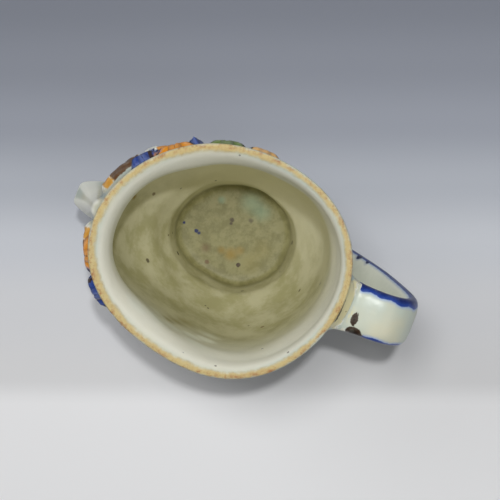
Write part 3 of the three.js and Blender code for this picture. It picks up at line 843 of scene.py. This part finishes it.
def strap_mesh():
    """The strap handle, with its blue edges and brown marks kept at its points."""
    line_places, along = smooth_line(strap_points(), STRAP_ROWS)
    tangent = np.gradient(line_places, along, axis=0)
    tangent /= np.linalg.norm(tangent, axis=1)[:, None]
    outward = np.stack([-tangent[:, 1], tangent[:, 0]], axis=1)
    across, through = strap_section()
    from_end = np.minimum(along, along[-1] - along)
    grown = 1 + STRAP_FLARE * ridge(from_end, 7.0)
    side = across[None, :] * grown[:, None]
    thickness = through[None, :] * grown[:, None]
    y = line_places[:, :1] + outward[:, :1] * thickness
    z = line_places[:, 1:] + outward[:, 1:] * thickness
    askew = HANDLE_SKEW * (z / HEIGHT - HANDLE_PLUMB) - LEAN * z / HEIGHT
    points = np.stack([side + askew, y, z], axis=-1)
    outward = np.repeat(2 * through[None, :] / STRAP_THICKNESS, STRAP_ROWS, axis=0)
    run = np.repeat(along[:, None], STRAP_SIDES, axis=1)
    line = Paint(side)
    paint_strap(line, side, run, outward, along[-1])
    wash = Paint(side)
    stain = 0.28 * (ROOT_STAIN + 1.2 * np.sin(0.5 * side + 1) - run)
    wash.lay(np.where(outward > 0, stain, -FAR), CREAM)
    # Painted light: the strap's inner face is painted paler, as if lit.
    wash.lay(np.where(outward < -0.5, 2.0, -FAR), PAINTED_LIGHT_WHITE)
    none = np.zeros_like(side)
    edge = np.abs(side) / (STRAP_WIDTH / 2)
    fields = {
        # Negative towards the strap's edges, where the glaze is painted whiter as a painted highlight and the
        # paint lies thinner.
        "hollow": -ease(edge, 0.8, 1.0) * 0.6,
        "inner": none,
        "lip": none + FAR,
        "wash": wash.cover,
        "line": line.cover,
        "original": none + 1,
    }
    colours = {"wash_colour": wash.colour, "line_colour": line.colour}
    return surface_object("mug strap", points, fields, colours, pole_rows=False)


def paint_strap(line, side, run, outward, length):
    """Blue along both edges of the outer face and around them, and a brown drop and half
    disc near the lip."""
    half = STRAP_WIDTH / 2
    far = side + half
    near = half - side
    outside = 4 * (outward + 0.5)
    shown = ease(run, STRIPE.start, STRIPE.start + 2) * ease(length - run, 4, 9)
    broad = STRIPE.far + 1.1 * ease(run, 14, 30) - 1.4 * ease(run, 40, 55) + 0.35 * np.sin(0.9 * run)
    line.lay(np.where(shown > 0.01, np.minimum(broad * shown - far, outside), -FAR), COBALT)
    core = CORE.half * ridge(run - CORE.run, CORE.spread) - np.abs(far - 0.6)
    line.lay(np.minimum(core, outside), DEEP_COBALT)
    for blob in BLOBS:
        line.lay(blob.size + 0.5 - np.hypot(far, length - run - blob.from_end), DEEP_COBALT)
    thin = STRIPE.near + 0.3 * np.sin(0.7 * run + 1)
    below_disc = ease(run, STRIPE.start + 5, STRIPE.start + 8) * shown
    line.lay(np.where(below_disc > 0.01, np.minimum(thin * below_disc - near, outside), -FAR), COBALT)
    x = side - DROP.side
    y = run - DROP.run
    down_drop = clamp01((x + DROP.long) / (2 * DROP.long))
    drop = DROP.half * np.sin(np.pi * down_drop**1.8) - np.abs(y - DROP.curve * (1 - down_drop) ** 2)
    drop = np.where(np.abs(x) < DROP.long, drop, -1.0)
    line.lay(np.where(outward > 0, drop, -FAR), DARK_BROWN)
    disc = DISC.radius - np.hypot(side - half - 0.3, run - DISC.run)
    line.lay(np.minimum(disc, outside), DARK_BROWN)


def joined(body, strap):
    """Body and strap as one surface, with the slip smoothed out around the strap's ends."""
    union = body.modifiers.new("union", "BOOLEAN")
    union.operation = "UNION"
    union.solver = "MANIFOLD"
    union.object = strap
    graph = bpy.context.evaluated_depsgraph_get()
    mesh = bpy.data.meshes.new_from_object(body.evaluated_get(graph), depsgraph=graph)
    for old in (body, strap):
        bpy.data.objects.remove(old)
    count = len(mesh.vertices)
    original = np.zeros(count, np.float32)
    mesh.attributes["original"].data.foreach_get("value", original)
    seam = np.flatnonzero(original < 0.5)
    for key in ("wash", "line", "lip"):
        values = np.zeros(count, np.float32)
        mesh.attributes[key].data.foreach_get("value", values)
        values[seam] = FAR if key == "lip" else -FAR
        mesh.attributes[key].data.foreach_set("value", values)
    mesh.attributes.remove(mesh.attributes["original"])
    smooth_seam(mesh, seam)
    mesh.name = "glazed_mug"
    thing = bpy.data.objects.new("glazed_mug", mesh)
    bpy.context.scene.collection.objects.link(thing)
    return thing


def smooth_seam(mesh, seam):
    """Rounds the corner where the strap meets the wall."""
    tree = kdtree.KDTree(len(seam))
    for index in seam:
        tree.insert(mesh.vertices[index].co, int(index))
    tree.balance()
    work = bmesh.new()
    work.from_mesh(mesh)
    near = [v for v in work.verts if tree.find(v.co)[2] < JOINT_BLEND * MM]
    for _ in range(12):
        bmesh.ops.smooth_vert(work, verts=near, factor=0.5, use_axis_x=True, use_axis_y=True, use_axis_z=True)
    work.to_mesh(mesh)
    work.free()


class Nodes:
    """Adds nodes to a tree. An input is a number, a colour, a vector or another socket."""

    def __init__(self, tree):
        self.tree = tree
        self.column = 0

    def add(self, kind, inputs=None, **settings):
        made = self.tree.nodes.new(kind)
        self.column += 1
        made.location = (180 * (self.column % 12), -220 * (self.column // 12))
        for key, value in settings.items():
            setattr(made, key, value)
        for key, value in (inputs or {}).items():
            self.feed(made.inputs[key], value)
        return made

    def feed(self, socket, value):
        if isinstance(value, bpy.types.NodeSocket):
            self.tree.links.new(value, socket)
        else:
            socket.default_value = value

    def field(self, name):
        return self.add("ShaderNodeAttribute", attribute_name=name).outputs["Fac"]

    def colour_field(self, name):
        return self.add("ShaderNodeAttribute", attribute_name=name).outputs["Color"]

    def place(self):
        return self.add("ShaderNodeTexCoord").outputs["Object"]

    def noise(self, place, size, detail=3.0, roughness=0.5):
        """Noise from 0 to 1 with features of about the given size in millimetres."""
        inputs = {"Vector": place, "Scale": 1 / (size * MM), "Detail": detail, "Roughness": roughness}
        return self.add("ShaderNodeTexNoise", inputs).outputs["Fac"]

    def sum(self, first, second):
        return self.calculate("ADD", first, second)

    def product(self, first, second):
        return self.calculate("MULTIPLY", first, second)

    def calculate(self, operation, first, second=0.0, third=0.0):
        made = self.add("ShaderNodeMath", operation=operation)
        for socket, value in zip(made.inputs, (first, second, third)):
            self.feed(socket, value)
        return made.outputs["Value"]

    def step(self, value, low, high, start=0.0, end=1.0):
        """Goes smoothly from start to end as value goes from low to high."""
        inputs = {"Value": value, "From Min": low, "From Max": high, "To Min": start, "To Max": end}
        made = self.add("ShaderNodeMapRange", inputs, interpolation_type="SMOOTHSTEP")
        return made.outputs["Result"]

    def mix(self, share, first, second, blend="MIX"):
        made = self.add("ShaderNodeMix", data_type="RGBA", blend_type=blend)
        self.feed(made.inputs["Factor"], share)
        self.feed(made.inputs[6], first)
        self.feed(made.inputs[7], second)
        return made.outputs[2]

    def mix_value(self, share, first, second):
        made = self.add("ShaderNodeMix", data_type="FLOAT")
        self.feed(made.inputs["Factor"], share)
        self.feed(made.inputs[2], first)
        self.feed(made.inputs[3], second)
        return made.outputs[0]


def group(name, inputs, outputs):
    """An empty node group with its sockets, and its input and output nodes."""
    tree = bpy.data.node_groups.new(name, "ShaderNodeTree")
    for key, (kind, value) in inputs.items():
        socket = tree.interface.new_socket(key, in_out="INPUT", socket_type=kind)
        if value is not None:
            socket.default_value = value
    for key, kind in outputs.items():
        tree.interface.new_socket(key, in_out="OUTPUT", socket_type=kind)
    nodes = Nodes(tree)
    given = nodes.add("NodeGroupInput").outputs
    wanted = nodes.add("NodeGroupOutput").inputs
    return tree, nodes, given, wanted


def opaque(colour):
    return (*linear(colour), 1.0)


def brushed_paint_group():
    """Paint laid with a soft brush: feathered and thin at its edge, streaky, and deeper in
    its middle, where more of it lies."""
    tree, nodes, given, wanted = group(
        "brushed_paint",
        {
            "Ground": ("NodeSocketColor", None),
            "Paint": ("NodeSocketColor", None),
            "Cover": ("NodeSocketFloat", 0.0),
            "Feather": ("NodeSocketFloat", 0.5),
            "Deepening": ("NodeSocketFloat", 0.5),
            "Gathering": ("NodeSocketFloat", 1.0),
            "Bleed": ("NodeSocketFloat", 1.0),
        },
        {"Color": "NodeSocketColor"},
    )
    place = nodes.place()
    ragged = nodes.noise(place, 1.1, 4.0, 0.6)
    edge = nodes.product(nodes.sum(ragged, -0.5), nodes.product(given["Feather"], 3.2))
    cover = nodes.sum(given["Cover"], edge)
    shape = nodes.step(cover, nodes.product(given["Feather"], -0.5), given["Feather"])
    streaks = nodes.step(nodes.noise(place, 2.6, 5.0, 0.65), 0.3, 0.6, 0.9, 1.0)
    density = nodes.product(nodes.product(shape, streaks), given["Gathering"])
    depth = nodes.product(nodes.step(cover, 0.3, 2.2), given["Deepening"])
    deep = nodes.mix(depth, given["Paint"], nodes.mix(1.0, given["Paint"], given["Paint"], "MULTIPLY"))
    parts = nodes.add("ShaderNodeSeparateColor", {"Color": given["Paint"]}).outputs
    blueness = nodes.step(nodes.calculate("SUBTRACT", parts["Blue"], parts["Red"]), 0.02, 0.1, 0.0, 0.9)
    halo = nodes.step(cover, nodes.product(given["Bleed"], -1.0), 0.5, 0.0, blueness)
    pale = nodes.add("ShaderNodeGamma", {"Color": given["Paint"], "Gamma": 0.36}).outputs["Color"]
    tinged = nodes.mix(halo, given["Ground"], pale)
    nodes.feed(wanted["Color"], nodes.mix(density, tinged, deep))
    return tree


def spot_group():
    """A round spot at one place of the surface, such as a speck or a stain."""
    tree, nodes, given, wanted = group(
        "spot",
        {
            "Place": ("NodeSocketVector", None),
            "Centre": ("NodeSocketVector", None),
            "Radius": ("NodeSocketFloat", 0.001),
            "Softness": ("NodeSocketFloat", 0.5),
        },
        {"Mask": "NodeSocketFloat"},
    )
    apart = nodes.add("ShaderNodeVectorMath", operation="DISTANCE")
    nodes.feed(apart.inputs[0], given["Place"])
    nodes.feed(apart.inputs[1], given["Centre"])
    share = nodes.calculate("DIVIDE", apart.outputs["Value"], given["Radius"])
    inner = nodes.calculate("SUBTRACT", 1.0, given["Softness"])
    nodes.feed(wanted["Mask"], nodes.step(share, inner, 1.0, 1.0, 0.0))
    return tree


def speckle_group():
    """Tiny specks scattered in a glaze: a few of many cells hold one."""
    tree, nodes, given, wanted = group(
        "speckle",
        {
            "Cell": ("NodeSocketFloat", 6.0),
            "Size": ("NodeSocketFloat", 0.1),
            "Share": ("NodeSocketFloat", 0.2),
        },
        {"Mask": "NodeSocketFloat"},
    )
    place = nodes.place()
    scale = nodes.calculate("DIVIDE", 1000.0, given["Cell"])
    cells = nodes.add("ShaderNodeTexVoronoi", {"Vector": place, "Scale": scale})
    dot = nodes.step(cells.outputs["Distance"], nodes.product(given["Size"], 0.6), given["Size"], 1.0, 0.0)
    parts = nodes.add("ShaderNodeSeparateColor", {"Color": cells.outputs["Color"]})
    chosen = nodes.calculate("LESS_THAN", parts.outputs["Red"], given["Share"])
    nodes.feed(wanted["Mask"], nodes.product(dot, chosen))
    return tree


# Specks and stains of the inside, and pale patches of painted reflection on its wall: turn and
# height of each, its distance from the axis where it is on the floor, its radius, softness,
# strength and colour
INSIDE_SPOTS = [
    # Painted reflections: pale patches where the glaze would reflect the lamps.
    (49, 112, None, 7.0, 0.8, 0.85, PAINTED_LIGHT_WHITE),
    (62, 106, None, 7.5, 0.7, 0.85, PAINTED_LIGHT_WHITE),
    (74, 97, None, 6.5, 0.7, 0.85, PAINTED_LIGHT_WHITE),
    (88, 92, None, 6.0, 0.7, 0.85, PAINTED_LIGHT_WHITE),
    (97, 86, None, 6.0, 0.7, 0.85, PAINTED_LIGHT_WHITE),
    (60, 90, None, 7.0, 1.0, 0.6, PAINTED_LIGHT_WHITE),
    (98, 74, None, 7.0, 1.0, 0.6, PAINTED_LIGHT_WHITE),
    (92, 104, None, 6.5, 0.8, 0.85, PAINTED_LIGHT_WHITE),
    (7, 9, 22.3, 0.8, 0.5, 1.0, DEEP_COBALT),
    (15, 9, 16.6, 1.1, 0.5, 1.0, DEEP_COBALT),
    (18, 9, 15.4, 0.9, 0.5, 0.9, DEEP_COBALT),
    (116, 9, 13.4, 1.2, 0.4, 1.0, DARK_BROWN),
    (-60, 9, 6.2, 1.4, 0.6, 0.8, DARK_BROWN),
    (-52, 9, 4.8, 0.8, 0.5, 0.8, DARK_BROWN),
    (-121, 9, 9.1, 1.5, 0.7, 0.6, DARK_BROWN),
    (65, 9, 17.0, 1.4, 0.7, 0.7, BROWN),
    (45, 9, 14.0, 3.2, 1.0, 0.5, BROWN),
    (99, 9, 8.8, 4.4, 0.9, 0.75, STAIN_OCHRE),
    (128, 9, 7.6, 3.0, 1.0, 0.6, STAIN_OCHRE),
    (70, 9, 9.0, 2.6, 0.9, 0.6, STAIN_OCHRE),
    (-99, 9, 15.4, 7.0, 1.0, 0.45, STAIN_TEAL),
    (-122, 9, 15.0, 6.0, 1.0, 0.45, STAIN_TEAL),
    (-50, 9, 15.7, 2.6, 1.0, 0.5, STAIN_TEAL),
    (170, 9, 13.6, 6.5, 1.0, 0.35, STAIN_OLIVE),
    (138, 9, 14.2, 7.5, 1.0, 0.4, STAIN_OLIVE),
    (-167, 15.7, None, 1.1, 0.4, 0.9, DARK_BROWN),
    (119, 20.6, None, 0.9, 0.5, 0.8, DARK_BROWN),
    (37, 18.9, None, 1.2, 0.4, 0.9, DARK_BROWN),
    (33, 43.8, None, 1.3, 0.5, 0.8, DARK_BROWN),
    (21, 78.4, None, 1.2, 0.4, 0.85, DARK_BROWN),
    (21, 75.5, None, 1.0, 0.5, 0.8, DARK_BROWN),
    (-6, 57.0, None, 2.4, 0.9, 1.0, STAIN_OCHRE),
    (-6, 53.0, None, 2.0, 0.9, 0.9, STAIN_OCHRE),
    (-12, 44.4, None, 1.1, 0.5, 0.7, BROWN),
    (164, 42.6, None, 1.0, 0.5, 0.7, DARK_BROWN),
    (131, 54.3, None, 1.1, 0.5, 0.7, BROWN),
    (70, 86, None, 5.0, 1.0, 0.7, STAIN_OLIVE),
    (75, 79, None, 7.0, 1.0, 0.7, STAIN_OLIVE),
    (80, 70, None, 7.5, 1.0, 0.6, STAIN_OLIVE),
]


def spot_centre(turn, height, radius):
    """The place of a spot on the bowl or, where a radius is given, on the floor."""
    turn = math.radians(turn)
    reach = radius
    if radius is None:
        reach = float(bowl_radius(height) + plan_offset(turn, height) + mask_swell(turn, height))
        reach += float(hand_marks(turn, height))
    lean = LEAN * height / HEIGHT
    return Vector((reach * math.sin(turn) - lean, -reach * math.cos(turn), height)) * MM


# The colours of the glaze and of its worn lip, with the painted light and painted shade of the inside and the
# ridges
PEARL = (186, 196, 184)
THIN_CREAM = (202, 199, 174)
POOLED_BLUE = (150, 170, 172)
RIDGE_PAINTED_LIGHT = (244, 244, 232)
INSIDE_OLIVES_AND_SHADE = ((196, 192, 158), (172, 168, 126))
WELL_OLIVES_AND_SHADE = ((138, 134, 92), (118, 114, 72))
MINUS_X_WALL_PAINTED_LIGHT = (246, 242, 214)
UNDER_LIP_PAINTED_LIGHT = (250, 248, 234)
WORN_TANS = ((196, 178, 120), (184, 156, 92))
RUST_BROWN = (156, 100, 40)


def glaze_material():
    """The whole finish of the mug: glaze over cream clay, with its paints, its worn lip, the olive
    tint of the glaze that pooled inside, and painted light and painted shade laid into its colour."""
    material = bpy.data.materials.new("painted_pearl_glaze")
    material.use_nodes = True
    tree = material.node_tree
    shader = tree.nodes["Principled BSDF"]
    nodes = Nodes(tree)
    place = nodes.place()
    colour = glaze_ground(nodes, place)
    gathered = nodes.step(nodes.field("hollow"), -0.9, 0.2, 0.94, 1.0)
    layers = (("wash", 0.45, 0.2, gathered, 0.5), ("line", 0.27, 0.75, 1.0, 1.3))
    for name, feather, deepening, gathering, bleed in layers:
        painted = nodes.add("ShaderNodeGroup", node_tree=BRUSHED_PAINT)
        nodes.feed(painted.inputs["Ground"], colour)
        nodes.feed(painted.inputs["Paint"], nodes.colour_field(name + "_colour"))
        nodes.feed(painted.inputs["Cover"], nodes.field(name))
        nodes.feed(painted.inputs["Feather"], feather)
        nodes.feed(painted.inputs["Deepening"], deepening)
        nodes.feed(painted.inputs["Gathering"], gathering)
        nodes.feed(painted.inputs["Bleed"], bleed)
        colour = painted.outputs["Color"]
    colour = add_speckle(nodes, place, colour)
    colour, worn = add_worn_lip(nodes, place, colour)
    nodes.feed(shader.inputs["Base Color"], colour)
    waves = nodes.noise(place, 9.0, 2.0)
    gloss = nodes.step(waves, 0.3, 0.7, 0.28, 0.35)
    inner = nodes.field("inner")
    satin = nodes.mix_value(inner, gloss, 0.5)
    nodes.feed(shader.inputs["Roughness"], nodes.mix_value(worn, satin, 0.6))
    shader.inputs["IOR"].default_value = 1.5
    shader.inputs["Specular IOR Level"].default_value = 0.34
    ripple = nodes.product(nodes.noise(place, 3.5, 2.0), 0.00012)
    pitted = nodes.product(nodes.product(nodes.noise(place, 0.7, 3.0), worn), 0.0003)
    relief = nodes.sum(ripple, pitted)
    bump = nodes.add("ShaderNodeBump", {"Height": relief, "Distance": 1.0, "Strength": 1.0})
    nodes.feed(shader.inputs["Normal"], bump.outputs["Normal"])
    return material


def glaze_ground(nodes, place):
    """Blue-white glaze, creamier in broad patches, bluer where it pooled in a hollow, and painted
    whiter on a ridge as a painted highlight on the raised relief. Inside the bowl it turns olive
    and darker with depth, partly the pooled glaze's tint and partly painted shade, with painted
    light just under the lip and on the wall towards -X."""
    drift = nodes.step(nodes.noise(place, 22.0, 3.0), 0.35, 0.7)
    colour = nodes.mix(drift, opaque(PEARL), opaque(THIN_CREAM))
    hollow = nodes.field("hollow")
    colour = nodes.mix(nodes.step(hollow, 0.0, 1.0, 0.0, 0.7), colour, opaque(POOLED_BLUE))
    # Painted highlight: raised relief and the strap's edges are painted whiter, as if lit.
    colour = nodes.mix(nodes.step(hollow, 0.0, -0.8, 0.0, 0.8), colour, opaque(RIDGE_PAINTED_LIGHT))
    inner = nodes.field("inner")
    across, _, height = nodes.add("ShaderNodeSeparateXYZ", {"Vector": place}).outputs
    wander = nodes.product(nodes.sum(nodes.noise(place, 26.0, 3.0), -0.5), 0.03)
    # Darker with depth inside: partly the pooled glaze's olive tint, partly painted shade of the deep bowl.
    depth = nodes.step(nodes.sum(height, wander), 0.95 * HEIGHT * MM, 0.5 * HEIGHT * MM)
    clouds = nodes.step(nodes.noise(place, 13.0, 6.0, 0.65), 0.38, 0.62)
    olive = nodes.mix(clouds, *map(opaque, INSIDE_OLIVES_AND_SHADE))
    streaks = nodes.step(nodes.noise(place, 5.0, 5.0, 0.7), 0.38, 0.62)
    deepest = nodes.mix(streaks, *map(opaque, WELL_OLIVES_AND_SHADE))
    # The well is painted darker still: its olive glaze together with painted shade.
    in_well = nodes.step(nodes.sum(height, nodes.product(wander, 0.2)), 0.017, 0.009)
    # Painted light: the inside wall towards -X is painted paler, as if lit.
    painted_light_side = nodes.step(across, 0.01, -0.04, 0.0, 1.0)
    olive = nodes.mix(painted_light_side, olive, opaque(MINUS_X_WALL_PAINTED_LIGHT))
    inside = nodes.mix(in_well, olive, deepest)
    # Painted light: the inside just under the lip is painted whiter, as if lit.
    near_lip = nodes.mix(nodes.step(inner, 0.05, 0.5, 0.0, 0.8), colour, opaque(UNDER_LIP_PAINTED_LIGHT))
    return nodes.mix(nodes.product(inner, depth), near_lip, inside)


def add_speckle(nodes, place, colour):
    """Specks all over the glaze, and the larger ones, stains and painted reflections inside."""
    for cell, size, share, tone in ((7.0, 0.09, 0.16, DARK_BROWN), (9.0, 0.08, 0.1, DEEP_COBALT)):
        specks = nodes.add("ShaderNodeGroup", node_tree=SPECKLE)
        nodes.feed(specks.inputs["Cell"], cell)
        nodes.feed(specks.inputs["Size"], size)
        nodes.feed(specks.inputs["Share"], share)
        colour = nodes.mix(nodes.product(specks.outputs["Mask"], 0.7), colour, opaque(tone))
    wander = nodes.add("ShaderNodeTexNoise", {"Vector": place, "Scale": 900.0, "Detail": 3.0})
    pushed = nodes.add("ShaderNodeVectorMath", operation="MULTIPLY_ADD")
    nodes.feed(pushed.inputs[0], wander.outputs["Color"])
    pushed.inputs[1].default_value = (0.001, 0.001, 0.001)
    middle = nodes.add("ShaderNodeVectorMath", operation="SUBTRACT")
    nodes.feed(middle.inputs[0], place)
    middle.inputs[1].default_value = (0.0005, 0.0005, 0.0005)
    nodes.feed(pushed.inputs[2], middle.outputs["Vector"])
    for turn, height, reach, radius, softness, strength, tone in INSIDE_SPOTS:
        spot = nodes.add("ShaderNodeGroup", node_tree=SPOT)
        nodes.feed(spot.inputs["Place"], pushed.outputs["Vector"])
        spot.inputs["Centre"].default_value = spot_centre(turn, height, reach)
        spot.inputs["Radius"].default_value = radius * MM
        spot.inputs["Softness"].default_value = softness
        colour = nodes.mix(nodes.product(spot.outputs["Mask"], strength), colour, opaque(tone))
    return colour


def add_worn_lip(nodes, place, colour):
    """The glaze worn thin along the lip, down to tan clay with rusty spots on its outer edge."""
    lip = nodes.field("lip")
    broad = nodes.product(nodes.sum(nodes.noise(place, 16.0, 2.0), -0.5), 2.4)
    ragged = nodes.product(nodes.sum(nodes.noise(place, 2.4, 5.0, 0.65), -0.5), 2.2)
    from_lip = nodes.sum(nodes.calculate("ABSOLUTE", lip), nodes.sum(broad, ragged))
    worn = nodes.step(from_lip, 0.3, 1.9, 0.9, 0.0)
    tan = nodes.mix(nodes.noise(place, 4.0, 4.0), *map(opaque, WORN_TANS))
    spots = nodes.step(nodes.noise(place, 2.8, 5.0, 0.75), 0.45, 0.66)
    outer = nodes.step(nodes.sum(lip, ragged), 0.9, -0.6)
    rust = nodes.product(spots, nodes.sum(nodes.product(outer, 0.85), 0.15))
    tan = nodes.mix(rust, tan, opaque(RUST_BROWN))
    return nodes.mix(worn, colour, tan), worn


# The camera, lights and floor
CAMERA_PLACE = Vector((-94.576, 10.371, 815.861)) * MM
PICTURE_RIGHT = Vector((-0.33705, 0.94049, -0.04334))
PICTURE_UP = Vector((-0.93364, -0.33982, -0.11331))
LENS = 136.08
SENSOR = 36.0

# The backdrop paper's painted shading: its colour at places along the picture's height, upwards, standing in
# for light falling off across it
PAPER_PAINTED_SHADE = [
    (-420, (232, 232, 232)),
    (-76, (228, 228, 229)),
    (-64, (209, 209, 210)),
    (-32, (204, 205, 208)),
    (-5, (195, 198, 204)),
    (21, (172, 176, 184)),
    (47, (149, 153, 163)),
    (72, (134, 138, 148)),
    (98, (121, 125, 135)),
    (160, (150, 153, 160)),
    (420, (214, 216, 218)),
]

# The lamps: name, place and width in metres, power in watts
LAMPS = (
    ("soft key light", (-0.275, -0.155, 1.32), 0.24, 5.2),
    ("small key light", (-0.268, 0.0, 1.32), 0.04, 6.5),
    ("overhead light", (0.2, -0.1, 1.5), 1.4, 1.6),
    ("front light", (-0.3, -0.85, 1.05), 0.6, 2.8),
    ("back light", (0.2, 0.85, 1.05), 0.6, 1.5),
)
LAMP_AIM = (0, 0, 0.06)


def make_camera():
    data = bpy.data.cameras.new("camera")
    data.lens = LENS
    data.sensor_width = SENSOR
    camera = bpy.data.objects.new("camera", data)
    bpy.context.scene.collection.objects.link(camera)
    right = PICTURE_RIGHT.normalized()
    back = right.cross(PICTURE_UP).normalized()
    up = back.cross(right)
    turn = Matrix((right, up, back)).transposed()
    camera.matrix_world = Matrix.Translation(CAMERA_PLACE) @ turn.to_4x4()
    bpy.context.scene.camera = camera


def area_light(name, place, aim, size, power):
    data = bpy.data.lights.new(name, "AREA")
    data.shape = "DISK"
    data.size = size
    data.energy = power
    lamp = bpy.data.objects.new(name, data)
    bpy.context.scene.collection.objects.link(lamp)
    away = Vector(place) - Vector(aim)
    lamp.location = place
    lamp.rotation_euler = away.to_track_quat("Z", "Y").to_euler()
    return lamp


def make_floor():
    """A large sheet of backdrop paper, painted from near white to a cool grey: painted shading that stands in
    for light falling off across it.
    """
    bpy.ops.mesh.primitive_plane_add(size=8.0, location=(0, 0, 0))
    floor = bpy.context.object
    floor.name = "floor"
    material = bpy.data.materials.new("shaded_paper")
    material.use_nodes = True
    shader = material.node_tree.nodes["Principled BSDF"]
    nodes = Nodes(material.node_tree)
    along = nodes.add("ShaderNodeVectorMath", {"Vector": nodes.place()}, operation="DOT_PRODUCT")
    along.inputs[1].default_value = (PICTURE_UP.x, PICTURE_UP.y, 0)
    near, far = PAPER_PAINTED_SHADE[0][0] * MM, PAPER_PAINTED_SHADE[-1][0] * MM
    span = {"Value": along.outputs["Value"], "From Min": near, "From Max": far}
    share = nodes.add("ShaderNodeMapRange", span)
    ramp = nodes.add("ShaderNodeValToRGB", {"Fac": share.outputs["Result"]})
    ramp.color_ramp.interpolation = "EASE"
    for number, (place, colour) in enumerate(PAPER_PAINTED_SHADE):
        position = (place - PAPER_PAINTED_SHADE[0][0]) / (PAPER_PAINTED_SHADE[-1][0] - PAPER_PAINTED_SHADE[0][0])
        if number >= len(ramp.color_ramp.elements):
            ramp.color_ramp.elements.new(position)
        ramp.color_ramp.elements[number].position = position
        ramp.color_ramp.elements[number].color = opaque(colour)
    nodes.feed(shader.inputs["Base Color"], ramp.outputs["Color"])
    shader.inputs["Roughness"].default_value = 0.9
    floor.data.materials.append(material)
    return floor


def make_studio():
    world = bpy.data.worlds.new("studio")
    world.use_nodes = True
    world.node_tree.nodes["Background"].inputs["Color"].default_value = (0.93, 0.96, 1.0, 1)
    world.node_tree.nodes["Background"].inputs["Strength"].default_value = 0.09
    bpy.context.scene.world = world
    for name, place, size, power in LAMPS:
        area_light(name, place, LAMP_AIM, size, power)
    make_floor()
    bpy.context.scene.view_settings.view_transform = "Standard"
    bpy.context.scene.view_settings.look = "None"


BRUSHED_PAINT = brushed_paint_group()
SPOT = spot_group()
SPECKLE = speckle_group()

make_camera()
make_studio()
mug = joined(body_mesh(), strap_mesh())
mug.data.materials.clear()
mug.data.materials.append(glaze_material())
mug.data.polygons.foreach_set("use_smooth", [True] * len(mug.data.polygons))
mug.data.polygons.foreach_set("material_index", [0] * len(mug.data.polygons))
mug.data.update()
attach(mug, "root")
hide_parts("satyr_mug")
